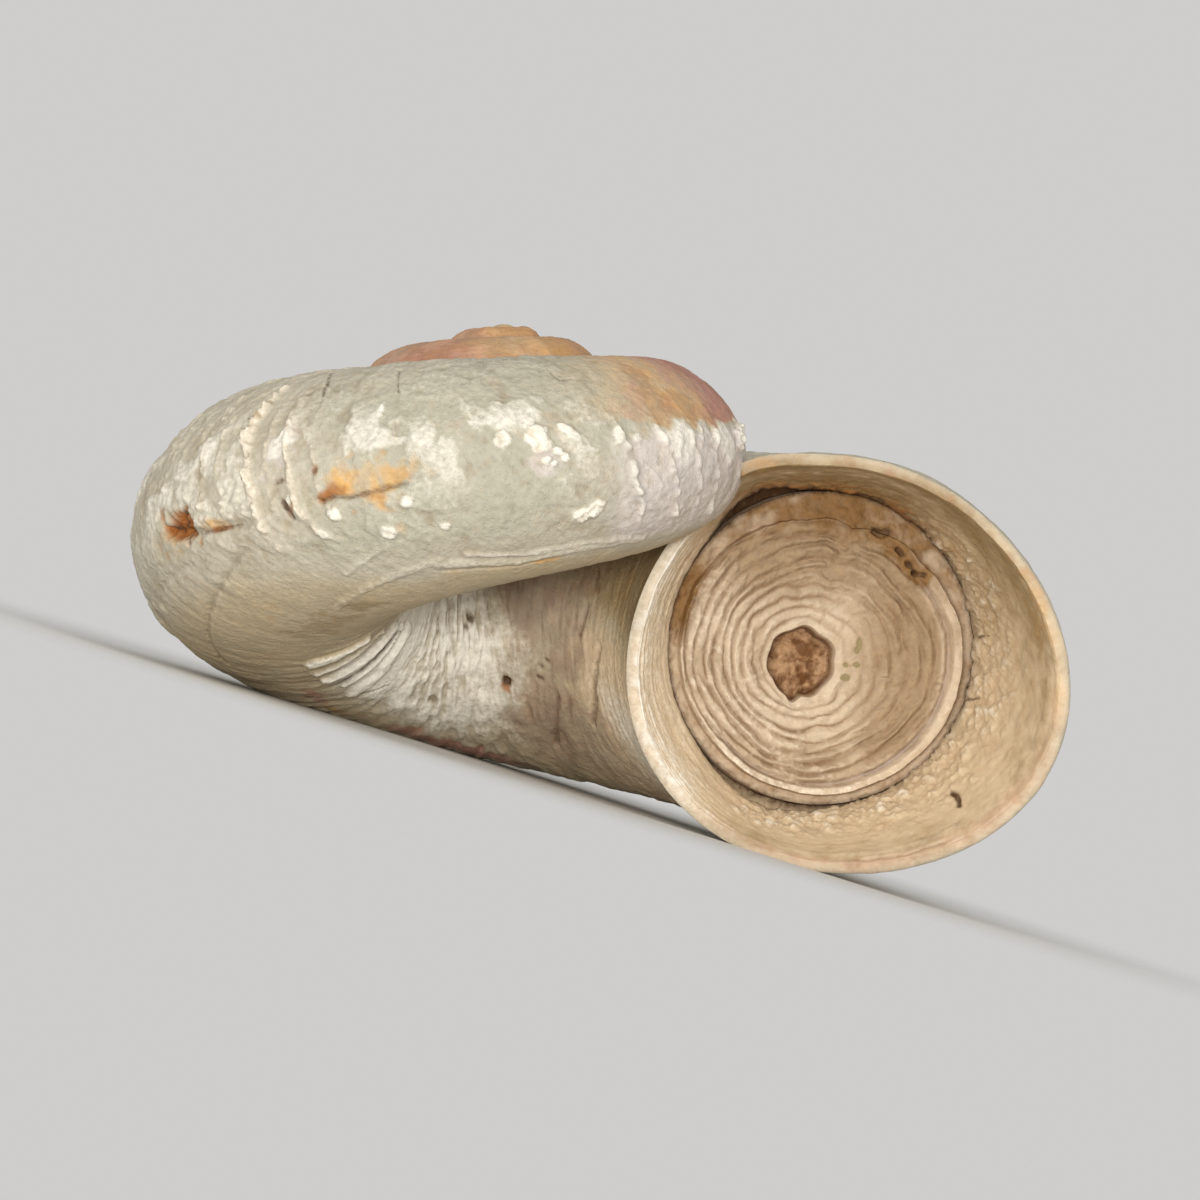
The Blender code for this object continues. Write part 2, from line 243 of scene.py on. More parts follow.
def grid_piece(name, points, masks, finish, poles=(None, None)):
    """A closed-round grid as one smooth mesh: quads between rows, fans at poles, masks as attributes."""
    rows, count = points.shape[:2]
    normals = grid_normals(points) @ np.array(COIL_TURN).T
    vertices = laid(points)
    vertices[..., 2] = np.maximum(vertices[..., 2], 0.0)
    row, column = np.meshgrid(np.arange(rows - 1), np.arange(count), indexing="ij")
    following = (column + 1) % count
    quads = np.stack([row * count + column, row * count + following,
                      (row + 1) * count + following, (row + 1) * count + column], axis=-1).reshape(-1, 4)
    faces = quads.tolist()
    vertices = vertices.reshape(-1, 3)
    normals = normals.reshape(-1, 3)
    ring = np.arange(count)
    for pole, start in zip(poles, (0, (rows - 1) * count)):
        if pole is None:
            continue
        tip = len(vertices)
        vertices = np.concatenate([vertices, laid(np.array([pole]))])
        normals = np.concatenate([normals, normals[start:start + count].mean(axis=0)[None]])
        pair = (start + ring, start + (ring + 1) % count)
        if start == 0:
            pair = pair[::-1]
        faces += np.stack([*pair, np.full(count, tip)], axis=-1).tolist()
    mesh = bpy.data.meshes.new(name)
    mesh.from_pydata(vertices.tolist(), [], faces)
    mesh.polygons.foreach_set("use_smooth", np.ones(len(mesh.polygons), bool))
    for mask, values in masks.items():
        values = np.clip(values.reshape(-1), 0.0, 1.0)
        values = np.concatenate([values, np.zeros(len(vertices) - len(values))])
        mesh.attributes.new(mask, "FLOAT", "POINT").data.foreach_set("value", values.astype(np.float32))
    mesh.validate()
    mesh.normals_split_custom_set_from_vertices(normals.tolist())
    mesh.materials.append(finish)
    piece = bpy.data.objects.new(name, mesh)
    bpy.context.scene.collection.objects.link(piece)
    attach(piece, "root")
    return piece


# Painted shade darkens it in hollows, creases and gaps.
# The lime
# Shell and lid are one stuff: chalky lime, cream in itself, that skin, rust and dirt have tinted in patches.
# It has a mottle of its own, of soft patches, fine grains and dark pores.


def colour(red, green, blue):
    """A colour as seen, from 0 to 255, as the linear values that a shader takes."""
    seen = np.array([red, green, blue]) / 255.0
    linear = np.where(seen <= 0.04045, seen / 12.92, ((seen + 0.055) / 1.055) ** 2.4)
    return (*linear.tolist(), 1.0)


def add_node(tree, kind, inputs=None, **settings):
    """A shader node with its settings, its inputs linked where a socket is given and set where a value is."""
    node = tree.nodes.new(kind)
    for setting, value in settings.items():
        setattr(node, setting, value)
    for key, value in (inputs or {}).items():
        if isinstance(value, bpy.types.NodeSocket):
            tree.links.new(value, node.inputs[key])
        else:
            node.inputs[key].default_value = value
    return node


def mixed(tree, factor, first, second, mode="MIX"):
    """A colour between two, by a factor."""
    inputs = {"Factor": factor, 6: first, 7: second}
    return add_node(tree, "ShaderNodeMix", inputs, data_type="RGBA", blend_type=mode).outputs[2]


def reckoned(tree, operation, *values):
    """One step of arithmetic on values or sockets."""
    return add_node(tree, "ShaderNodeMath", dict(enumerate(values)), operation=operation).outputs[0]


def ranged(tree, value, low, high, least=0.0, most=1.0, curve="LINEAR"):
    """A value carried from the range low to high over to the range least to most."""
    inputs = dict(enumerate((value, low, high, least, most)))
    return add_node(tree, "ShaderNodeMapRange", inputs, interpolation_type=curve).outputs[0]


def stepped(tree, value, low, high):
    """0 at low and 1 at high, with a smooth step between."""
    return ranged(tree, value, low, high, curve="SMOOTHSTEP")


def ragged_mask(tree, mask, noise, raggedness, low=0.0, high=1.0):
    """A painted mask, its edge broken up by noise: mask plus noise, brought to 0 and 1 by a smooth step."""
    broken = reckoned(tree, "MULTIPLY_ADD", noise, raggedness, mask)
    return stepped(tree, reckoned(tree, "SUBTRACT", broken, 0.5 * raggedness), low, high)


def lime_grain():
    """Node group of the lime's own mottle: soft patches, fine grains and dark pores, by scales per metre."""
    group = bpy.data.node_groups.new("lime grain", "ShaderNodeTree")
    for name, value in (("Patches", 1500.0), ("Grains", 6000.0), ("Pores", 9000.0)):
        group.interface.new_socket(name, in_out="INPUT", socket_type="NodeSocketFloat").default_value = value
    for name in ("Patch", "Grain", "Pore"):
        group.interface.new_socket(name, in_out="OUTPUT", socket_type="NodeSocketFloat")
    scales = group.nodes.new("NodeGroupInput").outputs
    results = group.nodes.new("NodeGroupOutput").inputs
    place = add_node(group, "ShaderNodeTexCoord").outputs["Object"]
    soft = {"Vector": place, "Scale": scales["Patches"], "Detail": 4.0, "Roughness": 0.62, "Distortion": 0.4}
    fine = {"Vector": place, "Scale": scales["Grains"], "Detail": 3.0, "Roughness": 0.6}
    pore = add_node(group, "ShaderNodeTexVoronoi", {"Vector": place, "Scale": scales["Pores"]})
    group.links.new(add_node(group, "ShaderNodeTexNoise", soft).outputs[0], results["Patch"])
    group.links.new(add_node(group, "ShaderNodeTexNoise", fine).outputs[0], results["Grain"])
    group.links.new(stepped(group, pore.outputs["Distance"], 0.32, 0.12), results["Pore"])
    return group


LIME_GRAIN = lime_grain()

# The usual low and high values of the soft patches and the fine grains
PATCH_RANGE = (0.34, 0.66)
GRAIN_RANGE = (0.3, 0.7)
BUMP_DEPTH = 0.00005


def lime_start(name, mask_names, scales):
    """A new material, its nodes, its painted masks by name and its mottle."""
    finish = bpy.data.materials.new(name)
    finish.use_nodes = True
    tree = finish.node_tree
    masks = {}
    for mask in mask_names:
        masks[mask] = add_node(tree, "ShaderNodeAttribute", attribute_name=mask).outputs["Fac"]
    return finish, tree, masks, add_node(tree, "ShaderNodeGroup", scales, node_tree=LIME_GRAIN).outputs


def lime_shader(tree, tint, roughness, specular, height, strength):
    """Sets a lime's colour, roughness and reflection, and its finest bumps."""
    shader = tree.nodes["Principled BSDF"]
    bump = add_node(tree, "ShaderNodeBump", {"Height": height, "Strength": strength, "Distance": BUMP_DEPTH})
    for name, socket in (("Base Color", tint), ("Roughness", roughness), ("Normal", bump.outputs[0])):
        tree.links.new(socket, shader.inputs[name])
    shader.inputs["Specular IOR Level"].default_value = specular


CREAM = colour(189, 182, 163)
WARM_CREAM = colour(184, 173, 150)
CHALK = colour(232, 225, 209)
HOLLOW_SHADE = colour(214, 201, 182)
DIRT_AND_SHADE = colour(78, 52, 30)

# Tints of the shell: mask, shade and how ragged the mask's edge is
SHELL_TINTS = (
    ("moss", colour(171, 166, 146), 1.0), ("lilac", colour(199, 189, 178), 0.6),
    ("tan", colour(188, 170, 137), 0.6), ("buff", colour(208, 184, 149), 0.3),
    ("olive_and_shade", colour(138, 114, 76), 0.7), ("mauve", colour(140, 121, 99), 0.6),
    ("rose", colour(176, 126, 108), 0.45), ("rust", colour(214, 164, 90), 0.5),
    ("deep", colour(156, 94, 38), 0.8),
)
SHELL_MASKS = (*(tint[0] for tint in SHELL_TINTS), "chalk", "dirt_and_shade", "hollow", "polish")


def shell_finish():
    """Weathered lime: cream mottled with greenish grey, tinted by each painted mask, with painted shade in
    the hollows.
    """
    scales = {"Patches": 1300.0, "Grains": 6200.0, "Pores": 7500.0}
    finish, tree, masks, lime = lime_start("weathered_lime", SHELL_MASKS, scales)
    patch, grain = lime["Patch"], lime["Grain"]
    tint = mixed(tree, stepped(tree, patch, *PATCH_RANGE), WARM_CREAM, CREAM)
    for name, shade, raggedness in SHELL_TINTS:
        tint = mixed(tree, ragged_mask(tree, masks[name], patch, raggedness), tint, shade)
    tint = mixed(tree, ragged_mask(tree, masks["chalk"], grain, 0.55, 0.12, 0.88), tint, CHALK)
    tint = mixed(tree, 1.0, tint, ranged(tree, patch, *PATCH_RANGE, 0.92, 1.05), "MULTIPLY")
    worn = reckoned(tree, "MULTIPLY_ADD", masks["polish"], -0.6, 1.0)
    tint = mixed(tree, worn, tint, ranged(tree, grain, *GRAIN_RANGE, 0.88, 1.06), "MULTIPLY")
    # Painted shade: the hollow mask darkens the tint towards HOLLOW_SHADE in sunk places.
    low = reckoned(tree, "MULTIPLY", masks["hollow"], 0.5)
    tint = mixed(tree, low, tint, mixed(tree, 1.0, tint, HOLLOW_SHADE, "MULTIPLY"))
    # Dirt and painted shade in one dark brown: pits, cracks, the foot of the funnel, the lid's seat and the
    # hollow behind
    tint = mixed(tree, ragged_mask(tree, masks["dirt_and_shade"], grain, 0.8, 0.1, 0.9), tint, DIRT_AND_SHADE)
    rough = ranged(tree, grain, *GRAIN_RANGE, 0.52, 0.74)
    rough = reckoned(tree, "MULTIPLY_ADD", masks["polish"], -0.16, rough)
    height = reckoned(tree, "MULTIPLY_ADD", lime["Pore"], -0.25, grain)
    strength = reckoned(tree, "MULTIPLY_ADD", masks["polish"], -0.55, 0.75)
    lime_shader(tree, tint, rough, 0.35, height, strength)
    return finish


WEATHERED_LIME = shell_finish()

# The whorls
# Three and a bit turns of the tube, each resting on the one before. The last shows its weathered skin in
# front and the wall of the open umbilicus behind. Ribs and fine lines follow the old lips; chalk, pits and
# stains lie on them.

# Ribs: place along the coil, height, half width in radians, lowest and highest side
RIBS = (
    (-3.42, 0.045, 0.014, 0.20, 1.30), (-3.50, 0.03, 0.010, 0.10, 1.20), (-3.575, 0.05, 0.009, 0.00, 1.10),
    (-3.63, 0.05, 0.010, 0.30, 1.25), (-3.70, 0.035, 0.009, 0.20, 1.20), (-3.77, 0.045, 0.010, 0.15, 1.10),
    (-3.84, 0.08, 0.010, 0.00, 1.20), (-3.92, 0.05, 0.010, 0.20, 1.00), (-4.045, 0.22, 0.013, -0.12, 1.15),
    (-4.12, 0.05, 0.010, 0.10, 1.00), (-4.20, 0.14, 0.011, -0.10, 1.00), (-4.29, 0.06, 0.011, 0.00, 0.90),
    (-4.44, 0.04, 0.014, 0.30, 0.95), (-4.60, 0.04, 0.014, 0.35, 0.90), (-5.36, 0.13, 0.016, -0.35, 0.48),
    (-5.56, 0.09, 0.013, -0.45, 0.48), (-5.71, 0.06, 0.012, -0.30, 0.45), (-5.85, 0.06, 0.012, -0.40, 0.46),
)

# Chalky lumps: along, side, half length, half width, turn, height, whiteness
LUMPS = (
    (-4.302, -0.02, 0.26, 0.24, 0, 0.17, 0.95), (-4.545, 0.02, 0.22, 0.20, 0, 0.15, 0.95),
    (-4.473, -0.21, 0.36, 0.24, 25, 0.12, 0.75), (-4.257, -0.17, 0.40, 0.14, 45, 0.09, 0.55),
    (-4.662, -0.24, 0.15, 0.13, 0, 0.10, 0.70), (-4.860, 0.47, 0.33, 0.25, 0, 0.10, 0.75),
    (-4.977, 0.45, 0.43, 0.36, 8, 0.17, 1.00), (-5.094, 0.51, 0.44, 0.17, 42, 0.12, 0.90),
    (-5.010, 0.27, 0.13, 0.12, 0, 0.12, 1.00), (-5.050, 0.34, 0.15, 0.12, 20, 0.14, 1.00),
    (-5.075, 0.29, 0.12, 0.13, 0, 0.10, 1.00), (-5.035, 0.24, 0.10, 0.10, 0, 0.08, 0.90),
    (-5.175, -0.24, 0.44, 0.30, -20, 0.17, 1.00), (-5.166, 0.33, 0.50, 0.12, 0, 0.05, 0.40),
    (-5.283, 0.44, 0.17, 0.36, 14, 0.06, 0.70), (-5.370, 0.43, 0.20, 0.16, -10, 0.04, 0.50),
    (-5.575, 0.38, 0.14, 0.44, 6, 0.06, 0.65), (-5.724, 0.44, 0.12, 0.24, 0, 0.07, 0.65),
    (-5.830, 0.40, 0.16, 0.34, 10, 0.09, 0.70), (-6.100, 0.42, 0.60, 0.36, -15, 0.20, 0.80),
    (-4.424, 0.86, 0.12, 0.36, 0, 0.05, 0.70), (-4.437, 0.56, 0.42, 0.42, 0, 0.06, 0.50),
    (-4.580, 0.50, 0.50, 0.74, 15, 0.07, 0.55), (-4.085, 0.63, 0.42, 0.66, 0, 0.05, 0.65),
    (-3.780, 0.62, 0.22, 0.60, 0, 0.04, 0.60), (-4.150, 0.12, 0.14, 0.30, 10, 0.06, 0.85),
)

# Pits: along, side, half length, half width, turn, depth, dirt and painted shade in the pit
PITS = (
    (-3.672, 0.09, 0.85, 0.44, 10, 0.30, 0.28), (-3.933, 0.91, 0.14, 0.14, 30, 0.06, 0.45),
    (-3.933, 1.08, 0.10, 0.10, 0, 0.05, 0.40), (-4.059, 1.20, 0.12, 0.10, 0, 0.05, 0.40),
    (-3.870, 0.54, 0.11, 0.08, 0, 0.04, 0.35), (-4.113, 0.30, 0.18, 0.09, 0, 0.07, 0.50),
    (-4.239, 0.35, 0.12, 0.20, 30, 0.10, 0.60), (-1.692, 3.96, 0.17, 0.17, 0, 0.16, 1.00),
    (-1.413, 3.84, 0.12, 0.09, 0, 0.07, 0.70), (-1.395, 3.77, 0.09, 0.08, 0, 0.06, 0.65),
    (-1.332, 3.72, 0.09, 0.08, 0, 0.06, 0.60), (-2.043, 3.67, 0.11, 0.12, 0, 0.08, 0.65),
    (-2.088, 3.74, 0.08, 0.10, 0, 0.06, 0.60), (-2.376, 3.86, 0.12, 0.07, 30, 0.06, 0.45),
    (-1.611, 4.22, 0.26, 0.18, 0, 0.05, 0.35), (-2.187, 4.31, 0.20, 0.14, 30, 0.06, 0.45),
    (-2.709, 4.90, 0.13, 0.10, 0, 0.05, 0.65), (-2.448, 4.90, 0.12, 0.08, 0, 0.05, 0.70),
    (-1.818, 4.62, 0.06, 0.16, 0, 0.05, 0.40), (-1.422, 4.66, 0.05, 0.12, 0, 0.05, 0.35),
)

# Cracks and folds: half width, height (below 0 a groove), dirt and painted shade, whiteness, and the places
# that the line joins
LINES = (
    (0.16, -0.13, 0.30, 0.0, ((-3.672, 0.05), (-3.78, 0.02), (-3.88, 0.03), (-3.99, 0.00))),
    (0.06, -0.04, 0.55, 0.0, ((-3.79, 0.005), (-3.88, 0.00), (-3.95, 0.01))),
    (0.10, -0.10, 0.75, 0.0, ((-3.66, 0.10), (-3.70, 0.20))),
    (0.08, -0.10, 0.70, 0.0, ((-3.64, 0.08), (-3.60, 0.12))),
    (0.09, -0.10, 0.75, 0.0, ((-3.68, 0.06), (-3.71, -0.04))),
    (0.09, -0.14, 0.75, 0.0, ((-4.122, 0.14), (-4.158, 0.00))),
    (0.08, -0.10, 0.55, 0.0, ((-4.266, 0.09), (-4.30, 0.12), (-4.36, 0.09), (-4.42, 0.12), (-4.545, 0.16))),
    (0.045, -0.08, 0.60, 0.0, ((-4.00, 1.62), (-4.10, 1.35), (-4.158, 1.10))),
    (0.030, -0.05, 0.50, 0.0, ((-4.392, 1.50), (-4.464, 1.07))),
    (0.030, -0.04, 0.45, 0.0, ((-5.049, 1.40), (-5.094, 1.17), (-5.157, 1.17))),
    (0.030, -0.04, 0.40, 0.0, ((-4.473, 1.43), (-4.545, 1.41))),
    (0.09, -0.07, 0.35, 0.0, ((-3.942, -0.19), (-3.798, -0.38), (-3.609, -0.56), (-3.465, -0.68),
                              (-3.231, -0.84), (-3.069, -0.94))),
    (0.10, -0.05, 0.15, 0.0, ((-3.672, -0.19), (-3.483, -0.23), (-3.339, -0.30), (-3.267, -0.38))),
    (0.10, 0.05, 0.0, 0.35, ((-4.266, -0.58), (-4.428, -0.38))),
    (0.14, 0.05, 0.0, 0.30, ((-4.077, -1.01), (-4.32, -0.79), (-4.464, -0.70), (-4.617, -0.61))),
    (0.15, 0.07, 0.0, 0.35, ((-4.617, -0.66), (-4.80, -0.74), (-4.923, -0.78), (-5.283, -0.68),
                             (-5.508, -0.66))),
    (0.08, 0.05, 0.0, 0.40, ((-4.72, -0.58), (-4.95, -0.68), (-5.20, -0.62), (-5.42, -0.60))),
    (0.06, -0.06, 0.35, 0.0, ((-4.617, -0.76), (-4.80, -0.83), (-4.923, -0.87), (-5.15, -0.80))),
    (0.07, -0.14, 0.60, 0.0, ((-3.051, 4.625), (-3.15, 4.381), (-3.213, 4.224))),
    (0.08, -0.17, 0.75, 0.0, ((-2.817, 4.66), (-2.853, 4.451), (-2.925, 4.067))),
    (0.06, -0.10, 0.50, 0.0, ((-2.61, 4.573), (-2.556, 4.398))),
    (0.17, 0.16, 0.0, 0.85, ((-3.27, 4.74), (-3.30, 4.55), (-3.37, 4.36))),
    (0.13, 0.12, 0.0, 0.70, ((-3.08, 4.70), (-3.14, 4.46), (-3.22, 4.20))),
    (0.17, 0.16, 0.0, 0.90, ((-2.95, 4.64), (-2.99, 4.38), (-3.07, 4.08))),
    (0.12, 0.10, 0.0, 0.70, ((-2.80, 4.58), (-2.84, 4.34), (-2.93, 4.02))),
    (0.16, 0.13, 0.0, 0.80, ((-2.68, 4.60), (-2.71, 4.30), (-2.80, 4.00))),
    (0.09, -0.10, 0.50, 0.0, ((-1.278, 3.91), (-1.341, 4.084), (-1.404, 4.294))),
    (0.10, -0.08, 0.45, 0.0, ((-0.864, 3.107), (-0.873, 3.194))),
    (0.09, -0.08, 0.45, 0.0, ((-0.918, 3.316), (-0.999, 3.491))),
    (0.10, -0.10, 0.50, 0.0, ((-0.756, 3.491), (-0.855, 3.665), (-0.918, 3.805), (-1.026, 3.997))),
    (0.06, -0.06, 0.40, 0.0, ((-1.179, 3.892), (-1.215, 3.997))),
)

# Stains: mask, along, side, half length, half width, turn, strength
STAINS = (
    ("deep", -3.672, 0.10, 0.90, 0.50, 10, 1.00), ("rust", -3.66, 0.05, 0.95, 0.60, 0, 0.45),
    ("rust", -3.86, 0.05, 0.65, 0.17, 0, 0.45), ("deep", -3.86, 0.01, 0.60, 0.08, 0, 0.75),
    ("deep", -4.16, 0.08, 0.16, 0.30, 30, 0.60), ("deep", -5.03, -0.84, 0.50, 0.06, 0, 0.35),
    ("rust", -4.42, 0.24, 1.45, 0.74, 4, 0.66), ("rust", -4.33, 0.20, 0.55, 0.40, 0, 0.80),
    ("deep", -4.30, 0.16, 0.48, 0.24, 0, 0.75), ("deep", -4.42, 0.11, 0.75, 0.14, 5, 0.35),
    ("rust", -4.572, 0.30, 0.16, 0.42, 0, 0.60), ("deep", -4.24, 0.36, 0.16, 0.24, 30, 0.50),
    ("rust", -4.50, -0.20, 0.35, 0.20, 0, 0.30), ("rust", -5.00, -0.84, 0.75, 0.16, 0, 0.55),
    ("lilac", -5.005, 0.24, 0.40, 0.35, 0, 0.90), ("lilac", -4.085, 0.60, 0.45, 0.80, 0, 0.90),
    ("olive_and_shade", -4.185, -1.06, 0.80, 0.40, 20, 0.55), ("olive_and_shade", -3.90, -1.25, 1.60, 0.80, 0, 0.45),
    ("olive_and_shade", -2.54, 4.87, 0.70, 0.22, 0, 0.55), ("rust", -2.56, 4.85, 0.40, 0.16, 0, 0.45),
    ("rose", -1.95, 4.75, 2.60, 0.45, 0, 0.70), ("rose", -2.70, 4.85, 1.00, 0.35, 0, 0.60),
    ("lilac", -2.90, 4.40, 1.20, 0.90, 0, 0.90), ("deep", -1.69, 4.00, 0.20, 0.16, 0, 0.60),
    # The last olive stain is painted shadow under the front whorl's edge by the lip
    ("olive_and_shade", -0.45, 3.22, 0.60, 0.80, 0, 0.45),
)

# Heights of the fine relief, and how far the tube draws in behind the upper lip, in millimetres
FINE_LINES = 0.020
PLATES = 0.045
WRINKLES = 0.055
GRANULES = 0.10
DRIPS = 0.030
NECK_DEPTH = 0.42

# Stretched noises on the outer face: sizes in millimetres along the coil and round the tube
STRIA_SIZE = (0.24, 1.5)
WRINKLE_SIZE = (0.24, 0.70)
PLATE_SIZE = (0.75, 1.25)
DRIP_SIZE = (0.40, 1.0)

# Where zones begin and end, in radians along the coil; the wall's edge is round the tube, down from outside
LAST_WHORL = (-6.9, -6.2)
GREEN_FACE = (-5.45, -4.10)
LILAC_FACE = (-6.5, -5.30)
CALM_FACE = (-6.5, -5.25)
OTHER_SIDE = (-3.4, -3.0)
MAUVE_WALL = (-1.80, -0.88)
WALL_EDGE = (1.50, 1.72)


def steps_at(place):
    """Millimetres for a radian along the coil and for one round the tube, from two short steps."""
    along, side = np.array(place[0]), np.array(place[1])
    here = tube_surface(along, side)
    step = 0.01
    run = np.linalg.norm(tube_surface(along + step, side) - here) / step
    girth = np.linalg.norm(tube_surface(along, side + step) - here) / step
    return run, girth


def from_place(along, side, place):
    """Millimetres forward along the coil and upward round the tube from a place."""
    run, girth = steps_at(place)
    return (along - place[0]) * run, wrapped(side - place[1]) * girth


def spot(along, side, ellipse):
    """Distance from a turned ellipse's middle as a share of its reach, 1 on its edge."""
    *place, half_length, half_width, turn = ellipse
    forward, upward = from_place(along, side, place)
    cosine, sine = math.cos(math.radians(turn)), math.sin(math.radians(turn))
    lengthwise = (cosine * forward + sine * upward) / half_length
    return np.hypot(lengthwise, (cosine * upward - sine * forward) / half_width)


def run_distance(across, up, run, climb):
    """Distance to a straight run that starts at 0, 0: to the nearest of its points."""
    share = np.clip((across * run + up * climb) / (run * run + climb * climb), 0.0, 1.0)
    return np.hypot(across - share * run, up - share * climb)


def path_distance(along, side, places):
    """Distance in millimetres to a line through places on the tube: the least of those to its runs."""
    nearest = []
    for start, end in zip(places, places[1:]):
        nearest.append(run_distance(*from_place(along, side, start), *from_place(*end, start)))
    return np.minimum.reduce(nearest)


def stretched(run, girth, size, seed, octaves=3):
    """Smooth noise with one size along the coil and another round the tube."""
    return cloud(joined(run / size[0], girth / size[1], 0.0), 1.0, seed, octaves)


def marked(relief, masks, body, height, dirt_and_shade, whiteness):
    """The relief with a line's height added, and the line's dirt with painted shade and its chalk laid over
    the masks.
    """
    cover(masks, "dirt_and_shade", dirt_and_shade * body)
    masks["chalk"] = np.maximum(masks["chalk"] * (1.0 - dirt_and_shade * body), whiteness * body)
    return relief + height * body


def colour_zones(along, lower, points):
    """Broad tints: greenish grey in front, lilac by the lip, tan below, brown to rose on the shoulder."""
    broad = cloud(points, 2.6, 41)
    teeth = 0.09 * cloud(points, 0.50, 43)
    streak = cloud(joined(along * 14.0 + 4.0 * lower, lower * 2.2 - 1.5 * along, 0.0), 1.0, 45)
    last = rise(along, *LAST_WHORL)
    early = 1.0 - last
    wall = rise(-lower, *WALL_EDGE)
    masks = {name: np.zeros(along.shape) for name in SHELL_MASKS}

    below = -0.30 - 0.42 * rise(along, -4.0, -4.5)
    masks["tan"] = rise(below - lower + 0.12 * broad, -0.12, 0.30) * last * (0.85 + 0.2 * broad)
    masks["tan"] *= 1.0 - 0.75 * rise(along, -3.35, -2.95) * rise(along + 0.3 * broad, -1.2, -2.2) * wall
    masks["moss"] = span(along, *GREEN_FACE, 0.16) * rise(lower, -0.7, -0.2) * (0.66 + 0.4 * broad)
    other_side = last * rise(along, *OTHER_SIDE) * (1.0 - wall)
    cover(masks, "moss", other_side * rise(lower, -0.5, 0.1) * (0.22 + 0.6 * broad))
    masks["lilac"] = span(along, *LILAC_FACE, 0.14) * rise(0.50 + teeth - lower, -0.04, 0.06)
    masks["lilac"] *= rise(lower, -0.75, -0.5)

    patch = rise(lower, 0.50 + teeth, 0.62 + teeth) * rise(along, -4.90, -5.50) * last
    cover(masks, "tan", np.maximum(0.80 * patch, 0.8 * early))
    masks["rose"] = (0.95 + 0.25 * streak) * patch * rise(along + 0.12 * streak, -5.48, -6.00)
    cover(masks, "rose", (0.30 + 0.2 * streak) * patch * rise(along, -5.05, -5.45))
    masks["rust"] = (0.55 + 0.25 * streak) * patch * rise(along + 0.12 * streak, -5.10, -5.62)
    masks["rust"] *= 1.0 - masks["rose"]
    cover(masks, "rose", early * (0.56 + 0.35 * broad))
    cover(masks, "rust", early * (0.30 + 0.25 * cloud(points, 1.6, 47)))

    masks["chalk"] = 0.85 * wall * rise(along, -3.35, -2.85) * rise(-lower, 1.60, 1.85)
    thinned = 0.35 * rise(along + 0.3 * broad + 3.0 * teeth, -1.0, -2.0)
    masks["chalk"] *= thinned + 0.65 * rise(along + 0.3 * broad, -1.4, -2.4)
    cover(masks, "rose", 0.15 * wall * rise(along + 2.0 * teeth, -2.1, -1.5) * rise(along, -0.6, -1.0))
    # Painted shadow in olive brown at the top of the wall, under the front whorl's edge
    masks["olive_and_shade"] = 0.75 * wall * rise(along, -1.5, -0.9) * rise(-lower, 2.85, 3.10)
    mauve = wall * span(along + 0.2 * broad + 2.0 * teeth, *MAUVE_WALL, 0.36)
    masks["mauve"] = (0.60 + 0.25 * broad + teeth) * mauve * rise(lower, -1.6, -2.1)
    # Buff and chalk on the wall by the lip: its pale colour, made lighter still as painted light in this low,
    # recessed part
    masks["buff"] = 0.95 * wall * rise(along + 0.15 * broad, -1.25, -0.80) * rise(lower, -3.00, -2.70)
    cover(masks, "lilac", 0.60 * wall * rise(along + 0.15 * broad, -1.60, -0.70))
    cover(masks, "chalk", 0.54 * wall * rise(along + 0.2 * broad, -1.20, -0.50) * rise(lower, -2.9, -2.4))
    return masks, patch, wall


